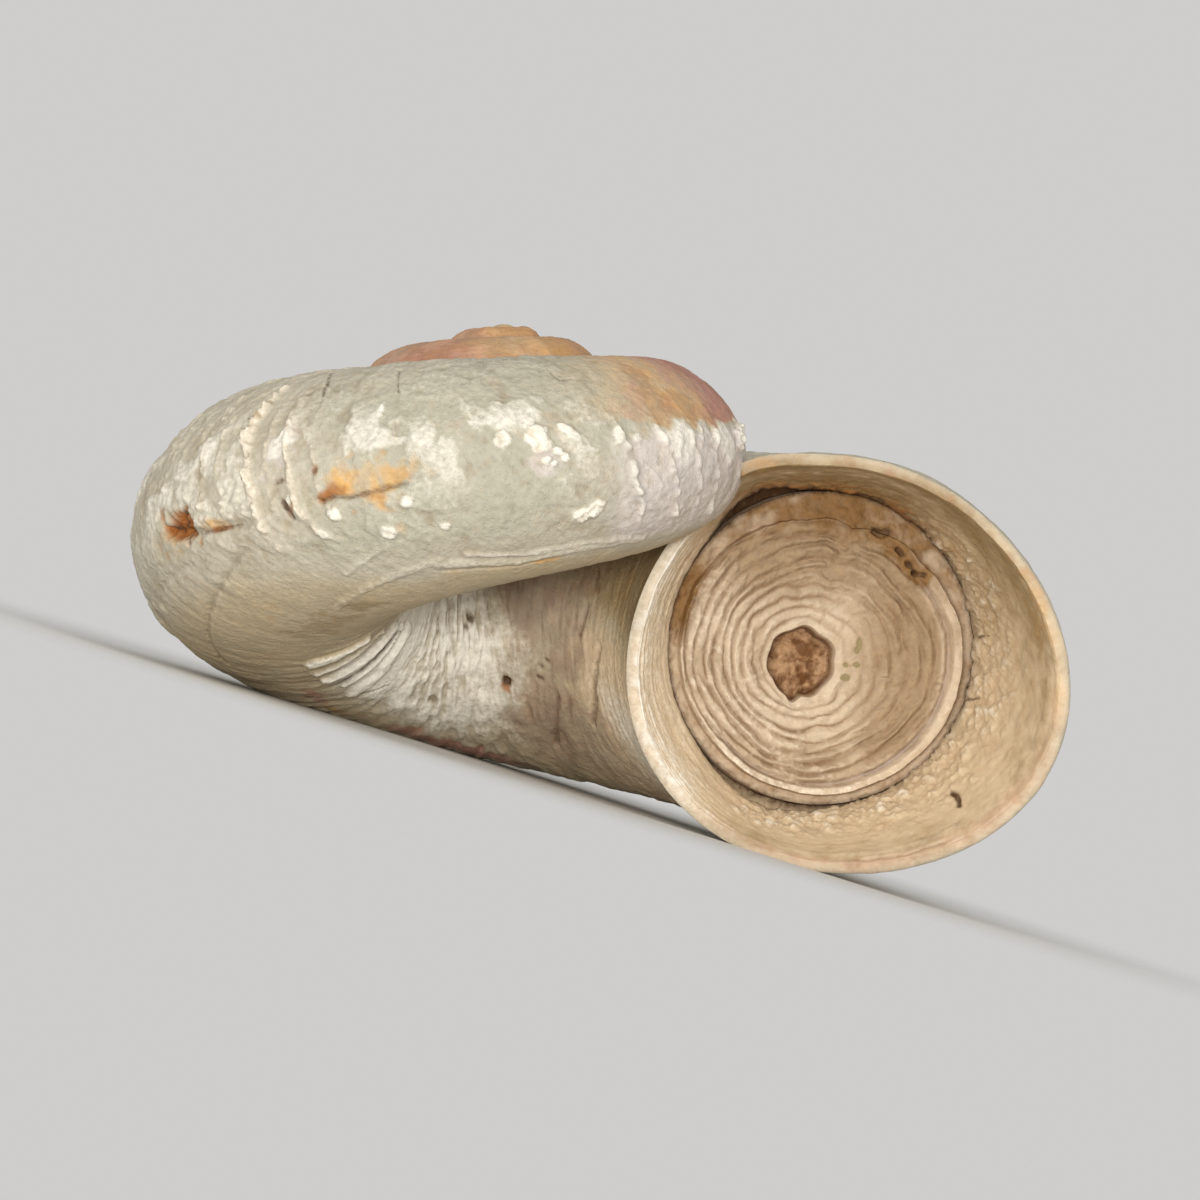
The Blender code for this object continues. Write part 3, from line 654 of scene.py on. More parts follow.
def weathering(station, along, side, points):
    """Relief in millimetres and masks of the outer face: ribs, fine lines and crust, then each mark."""
    lower = (side - SEAM_SIDE) % TURN + SEAM_SIDE - TURN
    size = growth(TUBE_GROWTH, along)
    masks, patch, wall = colour_zones(along, lower, points)
    ragged = cloud(points, 0.34, 11, 3)
    fine = cloud(points, 0.13, 17, 2)
    wander = 0.016 * cloud(points, 0.9, 23, 3)
    skin = rise(lower, -0.75, -0.25)
    last = rise(along, -6.6, -6.2)

    ribs = 0.0
    for place, height, width, lowest, highest in RIBS:
        body = hump(station + wander, place, width)
        body = body * rise(lower, lowest - 0.22, lowest + 0.1) * rise(lower, highest + 0.35, highest - 0.1)
        ribs = ribs + height * body
    ribs = ribs * np.clip(0.85 + 0.80 * ragged + 0.45 * fine, 0.12, 1.7)

    run = COIL_RADIUS / COIL_GROWTH[0] * growth(COIL_GROWTH, station + wander)
    girth = lower * TUBE_RADIUS * size
    striae = stretched(run, girth, STRIA_SIZE, 29)
    worm = stretched(run - 0.5 * girth, girth, WRINKLE_SIZE, 37)
    mottle = stretched(run, girth, PLATE_SIZE, 53, 4)
    veil = stretched(run, girth, DRIP_SIZE, 151, 4)
    plates = rise(mottle, -0.05, 0.32)
    crumb = grains(points, 0.20, 59)[0]
    fan = rise(along, -3.45, -3.2) * rise(along, -2.35, -2.7) * wall

    wrinkled = span(along, -4.3, -3.35, 0.12) * span(lower, 0.0, 1.2, 0.2)
    calm = span(along, *CALM_FACE, 0.14) * skin
    far = rise(along, *OTHER_SIDE) * (1.0 - wall)
    mauve = wall * span(along, -1.75, -0.75, 0.25)
    masks["mauve"] = masks["mauve"] + mauve * (0.16 * rise(striae, 0.0, -0.5) + 0.14 * ragged)
    cut = 0.55 + 0.45 * skin - 0.6 * calm + 0.6 * wall * (1.0 - fan) - 0.35 * mauve
    detail = FINE_LINES * striae * (cut + 0.5 * wrinkled + 1.4 * far)
    detail = detail + skin * last * (PLATES * plates + 0.018 * ragged) * (1.0 - 0.7 * patch)
    crumbly = wall * (1.0 - fan) * rise(along, -3.2, -2.8) * rise(along + 0.2 * mottle, -1.2, -2.0)
    detail = detail + crumbly * (WRINKLES * worm + 0.050 * ragged)
    detail = detail + (0.007 + 0.006 * skin) * fine + (0.006 + 0.020 * mauve) * ragged
    granules = span(along, -4.02, -3.74, 0.05) * span(lower, 0.05, 0.24, 0.06)
    detail = detail + granules * GRANULES * rise(crumb, 0.75, 0.15)
    crust = skin * last * (1.0 - patch) * plates
    cover(masks, "chalk", 0.45 * granules * rise(crumb, 0.7, 0.3))
    cover(masks, "chalk", crust * (0.20 + 0.36 * span(lower, 0.15, 0.85, 0.25)))
    cover(masks, "chalk", 0.50 * np.clip(ribs / 0.10, 0.0, 1.0))
    drips = rise(veil, -0.05, 0.65) * span(lower, 0.05, 0.80, 0.22) * skin * last * (1.0 - patch)
    drips = drips * (1.0 - 0.7 * calm)
    detail = detail + DRIPS * drips
    cover(masks, "chalk", 0.46 * drips)
    masks["chalk"] = masks["chalk"] * (1.0 - 0.50 * crumbly * rise(worm + 0.6 * ragged, 0.1, -0.6))
    yellowed = np.clip(ribs / 0.12, 0.0, 1.0) * span(along, -4.35, -3.3, 0.1)
    cover(masks, "buff", 0.55 * yellowed)

    mouth_calm = 1.0 - towards_mouth(along, 0.12)
    neck = rise(along, -0.03, -0.30) * rise(along, -1.9, -0.9) * span(lower, 0.95, 2.05, 0.35)
    relief = (ribs + detail) * mouth_calm - NECK_DEPTH * neck
    for *ellipse, height, whiteness in LUMPS:
        body = rise(spot(along, side, ellipse) + 0.50 * ragged, 1.15, 0.50)
        relief = relief + height * body * (0.90 + 0.45 * fine + 0.25 * ragged)
        cover(masks, "chalk", whiteness * body)
        masks["rust"] = masks["rust"] * (1.0 - 0.8 * body)
    for mask, *ellipse, strength in STAINS:
        body = strength * rise(spot(along, side, ellipse) + 0.60 * ragged, 1.40, 0.40)
        cover(masks, mask, body)
        masks["chalk"] = masks["chalk"] * (1.0 - 0.7 * body * (mask in ("rust", "deep", "olive_and_shade", "rose")))
    columns = rise(striae, -0.15, 0.45) * span(along, -4.68, -4.18, 0.06) * skin
    masks["rust"] = masks["rust"] * (1.0 - 0.40 * columns)
    for *ellipse, depth, dirt_and_shade in PITS:
        body = rise(spot(along, side, ellipse) + 0.45 * ragged, 1.30, 0.50)
        relief = relief - depth * body
        cover(masks, "dirt_and_shade", dirt_and_shade * body)
        masks["chalk"] = masks["chalk"] * (1.0 - body)
    for half_width, height, dirt_and_shade, whiteness, places in LINES:
        body = rise(path_distance(along, side, places) / half_width + 0.55 * ragged, 1.5, 0.3)
        relief = marked(relief, masks, body, height, dirt_and_shade, whiteness)
    # Painted shade where the fine relief sinks, less on the umbilical wall
    masks["hollow"] = rise(-(detail - 0.04 * plates * skin) / size, 0.005, 0.07) * (1.0 - 0.6 * wall)
    return relief, masks


def outer_face(station, side):
    """The weathered outer face: the tube's skin pushed out along its normal by the relief."""
    station, side = np.meshgrid(station, side, indexing="ij")
    along = growth_line(station, side)
    smooth = tube_surface(along, side)
    step = 1e-3
    run = tube_surface(along + step, side) - tube_surface(along - step, side)
    turn = tube_surface(along, side + step) - tube_surface(along, side - step)
    normal = np.cross(turn, run)
    normal = normal / np.linalg.norm(normal, axis=-1, keepdims=True)
    relief, masks = weathering(station, along, side, smooth)
    return smooth + relief[..., None] * normal, masks


sides = spaced_sides(SIDE_COUNT)
LIP_START = -0.12
OUTER_LIP_ROWS = 24
WHORL_PIECES = (
    ("spire_whorls", -WHORLS * TURN, -6.40, 170),
    ("last_whorl_right", -6.40, -4.75, 186),
    ("last_whorl_left", -4.75, -3.10, 230),
    ("last_whorl_back", -3.10, LIP_START, 280),
)
for name, first, last, rows in WHORL_PIECES:
    points, masks = outer_face(np.linspace(first, last, rows), sides)
    tip = coil_middle(np.array(first - 0.5)) if first < -WHORLS * TURN + 0.01 else None
    whorl = grid_piece(name, points, masks, WEATHERED_LIME, (tip, None))
    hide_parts("shell")

# The nucleus
# The first tiny cap of shell, hatched with the animal. It closes the coil on the axis as a low smooth dome.

NUCLEUS_RADIUS = 0.62
NUCLEUS_DROP = 0.95
NUCLEUS_FOOT = 0.46
DOME_ANGLES = (2.4, 0.04)
DOME_GRID = (40, 80)


def dome(radius, middle, rows, count):
    """Most of a ball: radius times sine and cosine of the angle from the top, roughened by a fine noise."""
    polar = np.linspace(*DOME_ANGLES, rows)[:, None]
    around = np.linspace(0.0, TURN, count, endpoint=False)[None, :]
    ball = joined(np.sin(polar) * np.cos(around), np.sin(polar) * np.sin(around), np.cos(polar))
    return middle + radius * ball * (1.0 + 0.015 * cloud(ball, 0.3, 61, 2))[..., None]


cap_middle = np.array([0.0, 0.0, -NUCLEUS_DROP])
cap_points = dome(NUCLEUS_RADIUS, cap_middle, *DOME_GRID)
cap_masks = {name: np.zeros(cap_points.shape[:2]) for name in SHELL_MASKS}
cap_masks["tan"] += 0.8
cap_masks["rust"] += 0.45
cap_masks["rose"] += 0.35
cap = grid_piece("nucleus", cap_points[:, ::-1], cap_masks, WEATHERED_LIME,
                 (cap_middle - [0.0, 0.0, NUCLEUS_FOOT], cap_middle + [0.0, 0.0, NUCLEUS_RADIUS]))
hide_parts("shell")

# The mouth
# The lip that the full-grown snail thickened and smoothed, the flared funnel inside it, the round seat of the
# lid and the hollow behind. Chalky grains crust the funnel near the lid. Brown stains and painted shade
# darken its upper side, and painted shade darkens the seat and the hollow.

LIP_SHARE = 0.95
LIP_BULGE = 0.009
FUNNEL_BOW = 0.12
FUNNEL_EASE = 1.5
SEAT_TURN = -0.33
SEAT_SHIFT = (-0.30, 0.08)
SEAT_CLEARANCE = 0.006
SEAT_FRONT = 0.16
DEEP_SHARE = 0.84
DEEP_TURN = -0.90
HOLLOW_TURNS = 1.1
LID_RADIUS = 4.44
LID_THICKNESS = 0.95
LID_DISH = 0.30
LID_RIM_STEP = 0.22
LID_TILT = 0.26
RING_NOISE_RADIUS = 4.0
LIP_ROWS = 13
FUNNEL_ROWS = 77
SEAT_ROWS = 13
HOLLOW_ROWS = 26
FRONT_RIGHT = np.array([1.0, 0.0, 0.0])
FRONT_UP = np.array([0.0, -0.058, 0.9983])

# Wide parts of the gap round the lid: angle, half width and breadth
SEAT_CRESCENTS = ((2.00, 0.26, 0.38), (-1.92, 0.44, 0.32))

# Marks on the funnel, as the whorls' cracks, with places right and up of the lid's middle in millimetres
FUNNEL_CRACKS = (
    (0.085, -0.10, 0.80, 0.0, ((3.72, -4.08), (3.82, -4.15), (3.90, -4.30), (3.90, -4.42))),
    (0.028, -0.04, 0.80, 0.0, ((4.48, 0.27), (4.60, 0.34), (4.78, 0.33))),
    (0.028, -0.04, 0.80, 0.0, ((4.15, -1.49), (4.49, -1.42))),
    (0.110, 0.03, 0.0, 0.18, ((0.60, -5.86), (1.83, -5.82), (3.27, -5.40), (4.00, -5.00))),
    (0.040, -0.04, 0.25, 0.0, ((1.20, -5.99), (2.40, -5.85), (3.50, -5.48))),
)


def lid_axes():
    """The lid's frame inside the coil's: its middle, two axes in its face and the axis out of the mouth."""
    along = np.array(SEAT_TURN)
    long_axis, short_axis = section_axes(along)
    middle = coil_middle(along) + SEAT_SHIFT[0] * long_axis + SEAT_SHIFT[1] * short_axis
    outlet = np.cross(long_axis, short_axis)
    outlet = outlet / np.linalg.norm(outlet)
    return middle, long_axis, np.cross(outlet, long_axis), outlet


def seen_in_front(points):
    """Right and up of the lid's middle in millimetres, as seen from the front."""
    middle = lid_axes()[0]
    return (points - middle) @ FRONT_RIGHT, (points - middle) @ FRONT_UP


def seat_ring(side, out, clearance):
    """A ring round the lid: the lid's radius plus a clearance, at a distance out of the mouth."""
    middle, long_axis, short_axis, outlet = lid_axes()
    round_it = np.cos(side)[..., None] * long_axis + np.sin(side)[..., None] * short_axis
    return middle + (LID_RADIUS + clearance)[..., None] * round_it + np.asarray(out)[..., None] * outlet


def line_reach(right, up, places):
    """Distance in millimetres to a line through places seen from the front."""
    nearest = []
    for (right_0, up_0), (right_1, up_1) in zip(places, places[1:]):
        nearest.append(run_distance(right - right_0, up - up_0, right_1 - right_0, up_1 - up_0))
    return np.minimum.reduce(nearest)


def ring_points(side, radius=RING_NOISE_RADIUS):
    """Points on a ring, cosine and sine times the radius, for noises that run round the lid."""
    return joined(radius * np.cos(side), radius * np.sin(side), 0.0)


def seat_clearance(side):
    """Gap between seat and lid: a hair's breadth, with two wide crescents at the upper and lower left."""
    wobble = 0.02 * cloud(ring_points(side), 0.6, 67)
    gap = SEAT_CLEARANCE + np.maximum(wobble, 0.0)
    for angle, half_width, breadth in SEAT_CRESCENTS:
        gap = gap + breadth * hump(wrapped(side - LID_TILT), angle, half_width)
    return gap


def mouth_rows(side):
    """Smooth rows from the lip's outer edge over its round, down the bowed funnel, the seat and hollow."""
    roll = np.linspace(0.0, 1.0, LIP_ROWS + 1)[1:, None]
    share = 1.0 - 0.5 * (1.0 - LIP_SHARE) * (1.0 - np.cos(math.pi * roll))
    bulge = LIP_BULGE * np.sin(0.5 * math.pi * np.minimum(2.0 * roll, 1.0))
    lip = tube_surface(*np.broadcast_arrays(bulge, side), share)
    clearance = seat_clearance(side)
    seat_front = seat_ring(side, np.full(side.shape, SEAT_FRONT), clearance)
    blend = np.linspace(0.0, 1.0, FUNNEL_ROWS + 1)[1:, None, None]
    middle, outlet = lid_axes()[0], lid_axes()[3]
    bowed = 1.0 + FUNNEL_BOW * blend * (1.0 - blend)
    funnel = middle + ((1.0 - blend) * lip[-1] + blend * seat_front - middle) * bowed
    drop = (seat_front - lip[-1]) @ outlet
    funnel = funnel + (blend ** FUNNEL_EASE - blend) * drop[None, :, None] * outlet
    depth = np.linspace(SEAT_FRONT, -LID_THICKNESS - 0.26, SEAT_ROWS + 1)[1:, None]
    narrowed = SEAT_CLEARANCE + (clearance - SEAT_CLEARANCE)[None] * rise(depth, -0.42, -0.20)
    seat = seat_ring(np.broadcast_to(side, (len(depth), len(side))), depth + 0.0 * side[None], narrowed)
    deep = np.linspace(DEEP_TURN, -HOLLOW_TURNS * TURN, HOLLOW_ROWS)[:, None]
    along = growth_line(deep, side[None, :])
    hollow = tube_surface(along, np.broadcast_to(side, along.shape), DEEP_SHARE)
    return lip, funnel, np.concatenate([seat, hollow])


def doubled(side):
    """The same angles with one more halfway between each two."""
    following = np.append(side[1:], side[0] + TURN)
    return np.stack([side, 0.5 * (side + following)], axis=-1).reshape(-1)


mouth_sides = doubled(sides)
outside, outside_masks = outer_face(np.linspace(LIP_START, 0.0, OUTER_LIP_ROWS), mouth_sides)
outside[0, 1::2] = 0.5 * (outside[0, 0::2] + np.roll(outside[0, 0::2], -1, axis=0))
lip, funnel, inner = mouth_rows(mouth_sides)
smooth_rows = np.concatenate([outside, lip, funnel, inner])
normals = grid_normals(smooth_rows)
right, up = seen_in_front(smooth_rows)
angle = np.arctan2(up, right)
lip_rows = len(outside) + len(lip)
row_number = np.arange(len(smooth_rows))[:, None]
depth_share = np.clip((row_number - lip_rows) / len(funnel), 0.0, 1.0) + 0.0 * angle
inside = rise(row_number, len(outside) - 6, lip_rows) + 0.0 * angle
beyond = (row_number >= lip_rows + len(funnel)) + 0.0 * angle

ragged = cloud(smooth_rows, 0.34, 71)
fine = cloud(smooth_rows, 0.12, 73, 2)
broad = cloud(smooth_rows, 2.2, 79)
wave = cloud(joined(depth_share * 14.0, 2.0 * np.cos(angle), 2.0 * np.sin(angle)), 1.0, 89)
crumb, number = grains(smooth_rows, 0.32, 83)
small_crumb, small_number = grains(smooth_rows, 0.17, 97)
crusted = rise(depth_share + 0.10 * ragged, 0.42, 0.92) * (1.0 - beyond)
crusted = crusted * rise(np.cos(angle + 0.65) + 0.25 * broad, -0.1, 0.35)
grain_body = rise(crumb + 0.25 * fine, 0.75, 0.20) * (number > 0.50)
small_body = rise(small_crumb + 0.2 * fine, 0.75, 0.25) * (small_number > 0.45)
grain_body = np.maximum(grain_body, 0.5 * small_body)
to_left = rise(-right, 1.8, 4.4)
rough_top = hump(angle, 1.40, 0.80) * rise(depth_share, 0.55, 0.95) * (1.0 - beyond)
rim = span(row_number, len(outside) - 1, lip_rows + 2, 4.0) + 0.0 * angle
relief = inside * (0.016 * ragged + 0.007 * fine + (0.012 + 0.014 * to_left) * wave * (1.0 - beyond))
relief = relief + inside * 0.030 * cloud(smooth_rows, 1.1, 163, 2) * rise(depth_share, 0.5, 0.0)
relief = relief + crusted * (0.085 * grain_body + 0.040 * ragged) + rough_top * 0.07 * ragged
relief = relief + 0.045 * rim * cloud(smooth_rows, 0.8, 167)

masks = {name: np.zeros(angle.shape) for name in SHELL_MASKS}
pale = rise(ragged + 0.5 * broad, 0.0, 0.8)
upper = rise(up, 1.0, 4.5)
masks["buff"] = 0.95 * inside
masks["tan"] = 0.3 * inside
masks["polish"] = inside * (1.0 - crusted) * (1.0 - 0.6 * to_left)
masks["chalk"] = 0.26 * inside * pale * (1.0 - depth_share) * (1.0 - upper)
masks["chalk"] += crusted * (0.34 * grain_body + 0.22 * pale)
# Chalk on the left of the lip and funnel: a pale band, made lighter there as painted light
masks["chalk"] += inside * (1.0 - beyond) * to_left * (0.54 + 0.14 * wave) * (1.0 - 0.6 * depth_share)
masks["lilac"] = 0.50 * inside * (1.0 - beyond) * to_left * (1.0 - 0.7 * depth_share)
masks["rust"] = 0.30 * inside * rise(broad + 0.5 * ragged, 0.1, 0.9) * (1.0 - depth_share)
masks["rust"] += 0.30 * inside * hump(angle, -0.02, 0.34) * rise(depth_share, 0.22, 0.0)
masks["rose"] = 0.34 * inside * rise(np.cos(angle + 1.2), 0.2, 0.9) * rise(depth_share, 0.30, 0.05)
cover(masks, "rose", (0.10 + 0.20 * ragged) * rim)
cover(masks, "rose", 0.14 * inside * to_left * (1.0 - depth_share))
# Painted shade in olive brown: darker towards the top of the lip and funnel and on the funnel's right, most
# under the lip's top, less on the left
shaded = 0.42 + 0.50 * rise(np.sin(angle), 0.15, 0.85) + 0.20 * ragged + 0.16 * broad
masks["olive_and_shade"] = inside * shaded * rise(depth_share, 0.9, 0.1) * (1.0 - to_left)
masks["olive_and_shade"] += 0.42 * inside * hump(angle, 0.35, 0.50) * span(depth_share, 0.15, 1.0, 0.2)
cover(masks, "olive_and_shade", 0.95 * inside * hump(angle, 1.45, 0.85) * rise(depth_share + 0.15 * ragged, 0.10, 0.75))
masks["deep"] = 0.6 * rough_top * rise(ragged, -0.5, 0.4)
# Dirt and painted shade at the foot of the funnel by the lid, most under the lip's top, then a dark sheet of
# painted shade over the seat and the hollow behind the lid
masks["dirt_and_shade"] = inside * rise(depth_share, 0.88, 1.0) * (0.42 + 0.45 * hump(angle, 1.7, 0.9))
seat_row = lip_rows + len(funnel)
cover(masks, "dirt_and_shade", 0.85 * beyond * rise(row_number, seat_row, seat_row + 6))
# Painted shade between the crust's grains
masks["hollow"] = 0.6 * crusted * rise(grain_body, 0.5, 0.1)
for half_width, height, dirt_and_shade, whiteness, places in FUNNEL_CRACKS:
    body = rise(line_reach(right, up, places) / half_width + 0.4 * ragged, 1.5, 0.3) * inside
    relief = marked(relief, masks, body, height, dirt_and_shade, whiteness)
outer_rows = slice(0, len(outside))
for mask, values in outside_masks.items():
    masks[mask][outer_rows] = np.maximum(values * (1.0 - inside[outer_rows]), masks[mask][outer_rows])
relief[outer_rows] = 0.0
mouth_points = smooth_rows + relief[..., None] * normals
deep_end = coil_middle(np.array(-HOLLOW_TURNS * TURN - 0.1))
mouth = grid_piece("mouth", mouth_points, masks, WEATHERED_LIME, (None, deep_end))
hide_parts("shell")

# The lid
# A thick plate of lime on the snail's foot, grown as one long spiral of thin raised blades round a pit. The
# pit's floor is bare brown horn. The upper margin is broken away to a lower, brown-stained flange.

FIELD_RADIUS = 4.13
FIELD_BREAK = 0.56
BREAK_ANGLE = 1.35
BREAK_WIDTH = 0.95
PIT_RADIUS = 1.00
PIT_DEPTH = 0.50
PIT_FLOOR_SHARE = 0.90
STEP_WIDTH = 0.03
UNDERSIDE_SHARE = 0.95
PIT_OFFSET = (-0.42, -0.52)
LID_RINGS = 9
RING_RISE = 0.14
LID_COUNT = 440
LID_MASKS = ("crest", "trough", "stain", "pit", "chalk", "dirt_and_shade", "moss", "shade", "lilac")

# The lid's parts from the pit outwards, and the rows in each; the last two counts are its rim and underside
PIT_FLOOR, PIT_WALL, FIELD, STEP, FLANGE = range(5)
LID_ROWS = (26, 7, 131, 6, 15, 8, 13)

# Specks: right and up of the lid's middle, half width and half height
LID_SPECKS = (
    (1.13, 0.11, 0.09, 0.20), (1.05, -0.08, 0.08, 0.10), (0.73, -0.48, 0.09, 0.09), (1.05, -0.48, 0.12, 0.10),
    (0.73, -0.85, 0.13, 0.09),
)

# Cracks: half width, height, dirt with painted shade, and places right and up of the lid's middle
LID_CRACKS = (
    (0.06, -0.12, 0.55, ((1.55, 3.30), (1.75, 3.20), (1.95, 3.26))),
    (0.05, -0.12, 0.60, ((2.20, 2.78), (2.40, 2.62))), (0.06, -0.12, 0.65, ((2.50, 2.42), (2.68, 2.15))),
    (0.05, -0.12, 0.60, ((2.72, 2.10), (2.95, 2.05))),
)


def lid_rows():
    """For each row from the pit outwards: share of its own part's width, and the number of that part."""
    shares = np.concatenate([np.arange(1, count + 1) / count for count in LID_ROWS])
    kind = np.repeat(np.arange(len(LID_ROWS)), LID_ROWS)
    return shares[:, None], kind[:, None]


def lid_shape(share, kind, field_radius):
    """Radius and height by part: pit floor, pit wall, field, broken step, flange, rim and underside."""
    low = LID_DISH - LID_RIM_STEP
    spread = PIT_RADIUS + (field_radius - PIT_RADIUS) * share
    step_foot = field_radius + STEP_WIDTH
    flat = 0.0 * field_radius
    pit_foot = PIT_FLOOR_SHARE * PIT_RADIUS
    radii = (pit_foot * share, pit_foot + (PIT_RADIUS - pit_foot) * share, spread,
             field_radius + STEP_WIDTH * share, step_foot + (LID_RADIUS - step_foot) * share,
             LID_RADIUS, LID_RADIUS * (1.0 - UNDERSIDE_SHARE * share))
    heights = (-PIT_DEPTH, -PIT_DEPTH * (1.0 - share), LID_DISH * (spread / FIELD_RADIUS) ** 2,
               LID_DISH * (field_radius / FIELD_RADIUS) ** 2 * (1.0 - share) + low * share, low,
               low + (-LID_THICKNESS - low) * share, -LID_THICKNESS)
    parts = [kind == number for number in range(len(radii))]
    return [np.select(parts, [part + flat for part in values]) for values in (radii, heights)]


def lid_place(x, y, out):
    """Points of the lid's own frame in the coil's."""
    middle, long_axis, short_axis, outlet = lid_axes()
    return middle + x[..., None] * long_axis + y[..., None] * short_axis + out[..., None] * outlet


TROUGH_BUFF = colour(182, 158, 129)
CREST_BUFF = colour(203, 182, 154)
DARK_HORN = colour(104, 66, 32)
PALE_HORN = colour(172, 134, 96)
LID_DIRT_AND_SHADE = colour(64, 40, 20)

# Tints of the lid: mask, noise and how ragged it makes the edge, where the mask begins and is full, shade
LID_TINTS = (
    ("shade", "Patch", 0.7, 0.0, 1.0, colour(158, 132, 101)),
    # painted shade in the troughs between the blades
    ("trough", "Grain", 0.5, 0.0, 1.0, colour(130, 102, 72)),
    ("lilac", "Patch", 0.6, 0.1, 0.9, colour(168, 150, 136)),
    ("moss", "Grain", 0.4, 0.3, 0.7, colour(140, 124, 88)),
    ("stain", "Patch", 0.7, 0.0, 1.0, colour(134, 98, 56)),
    ("chalk", "Grain", 0.8, 0.2, 0.9, colour(236, 221, 198)),
)


def lid_finish():
    """Chalky lime: pale on the blades' crests, brown with painted shade between them, stained at the top,
    with a horny pit.
    """
    scales = {"Patches": 2200.0, "Grains": 5200.0, "Pores": 6500.0}
    finish, tree, masks, lime = lime_start("chalky_lid_lime", LID_MASKS, scales)
    patch, grain = lime["Patch"], lime["Grain"]
    crest = ragged_mask(tree, masks["crest"], patch, 0.9, 0.05, 0.95)
    tint = mixed(tree, crest, TROUGH_BUFF, CREST_BUFF)
    for name, noise, raggedness, low, high, shade in LID_TINTS:
        tint = mixed(tree, ragged_mask(tree, masks[name], lime[noise], raggedness, low, high), tint, shade)
    horny = mixed(tree, stepped(tree, patch, 0.36, 0.64), DARK_HORN, PALE_HORN)
    tint = mixed(tree, masks["pit"], tint, horny)
    tint = mixed(tree, 1.0, tint, ranged(tree, grain, *GRAIN_RANGE, 0.86, 1.08), "MULTIPLY")
    # Dirt and painted shade in the pit, the cracks and the gap at the flange's edge
    tint = mixed(tree, ragged_mask(tree, masks["dirt_and_shade"], grain, 0.8, 0.1, 0.9), tint, LID_DIRT_AND_SHADE)
    height = reckoned(tree, "MULTIPLY_ADD", lime["Pore"], -0.3, grain)
    lime_shader(tree, tint, ranged(tree, grain, *GRAIN_RANGE, 0.6, 0.85), 0.3, height, 0.55)
    return finish


around = np.linspace(0.0, TURN, LID_COUNT, endpoint=False)[None, :]
cosine, sine = np.cos(around), np.sin(around)
picture_angle = wrapped(around - LID_TILT)
share, kind = lid_rows()
ring_place = ring_points(around)
chipped = 0.06 * cloud(ring_place, 0.8, 113, 4)
broken = hump(picture_angle, BREAK_ANGLE, BREAK_WIDTH)
field_radius = FIELD_RADIUS - FIELD_BREAK * broken + chipped * (0.4 + broken)
radius, height = lid_shape(share, kind, field_radius)
flat_place = ring_points(around, radius)
wander = cloud(flat_place, 1.5, 101, 2)
nibbled = cloud(flat_place, 0.30, 103)
fine = cloud(flat_place, 0.11, 107, 2)
in_field = (kind == FIELD) + 0.0 * around
in_pit = (kind <= PIT_WALL) + 0.0 * around
on_flange = ((kind == STEP) | (kind == FLANGE)) + 0.0 * around
outward = in_field * (radius - PIT_RADIUS) / (field_radius - PIT_RADIUS)
drift = cloud(joined(0.9 * LID_RINGS * outward, 2.8 * cosine, 2.8 * sine), 1.0, 157, 2)
blade = LID_RINGS * outward + around / TURN + 0.24 * wander + 0.32 * drift + 0.055 * nibbled
ring_number = np.floor(blade)
own_place = joined(flat_place[..., 0] / 0.8, flat_place[..., 1] / 0.8, 7.3 * ring_number)
length = np.clip(0.70 + 0.95 * cloud(own_place, 0.8, 137), 0.05, 1.35)
darkness = rise(cloud(own_place + 31.0, 1.0, 139, 2), -0.5, 0.7)
fin = 0.5 - 0.5 * np.cos(TURN * (blade - ring_number))
grown = rise(outward, 0.0, 0.07)
vigour = 0.40 + 0.60 * rise(outward, 0.15, 0.75)
banded = rise(np.cos(picture_angle + 0.9), -0.25, 0.25)
band = banded * rise(outward, 0.915, 0.94)
groove = banded * hump(outward, 0.892, 0.024) * (0.75 + 0.4 * wander)
blades = vigour * length * fin * (1.0 - band)
relief = in_field * grown * (RING_RISE * (blades + 0.95 * band - 0.7 * groove) + 0.034 * nibbled)
relief = relief + 0.010 * fine
relief = relief + (kind == PIT_FLOOR) * 0.09 * cloud(flat_place, 0.42, 109)
relief = relief + on_flange * (0.05 * nibbled + 0.08 * cloud(flat_place, 0.45, 149))
notch = 0.16 * hump(picture_angle, -1.80, 0.16)
scallops = 0.035 * np.cos(7.0 * around + 0.6) + 0.04 * cloud(ring_place / 4.0, 0.5, 127, 2)
pit_edge = rise(radius, 0.45, PIT_RADIUS) * rise(radius, 1.55, PIT_RADIUS)
pulled = radius + (notch + scallops) * pit_edge
middle_share = np.where(kind <= PIT_WALL, 1.0, np.where(kind == FIELD, 1.0 - share, 0.0))
x = pulled * cosine + middle_share * PIT_OFFSET[0]
y = pulled * sine + middle_share * PIT_OFFSET[1]
out = height + relief
right, up = seen_in_front(lid_place(x, y, out))
angle = np.arctan2(up, right)

masks = {name: np.zeros(right.shape) for name in LID_MASKS}
masks["crest"] = np.where(in_field > 0, 0.30 + 0.65 * length * fin + 0.35 * wander, 0.45)
# Painted shade in the troughs between the blades, deeper on some rings and towards the left, and in the
# groove inside the outer band
leftward = rise(-right - 0.4 * up, -1.5, 3.5)
darkened = 0.22 + 0.50 * darkness + 0.30 * leftward
masks["trough"] = in_field * grown * (1.0 - fin) ** 2 * darkened * (1.0 - band)
cover(masks, "trough", 0.6 * in_field * groove)
masks["lilac"] = 0.6 * in_field * groove
shade_right = rise(right + 0.4 * wander, 0.1, 2.4) * rise(outward, 0.88, 0.80)
shade_below = 0.55 * rise(-up + 0.4 * wander, 1.9, 3.3) * rise(outward, 0.90, 0.84)
shade_above = rise(up + 0.4 * wander, 0.6, 2.8)
masks["shade"] = in_field * np.maximum(np.maximum(shade_right, shade_above), shade_below)
masks["pit"] = in_pit * rise(radius, 0.99 * PIT_RADIUS, 0.93 * PIT_RADIUS)
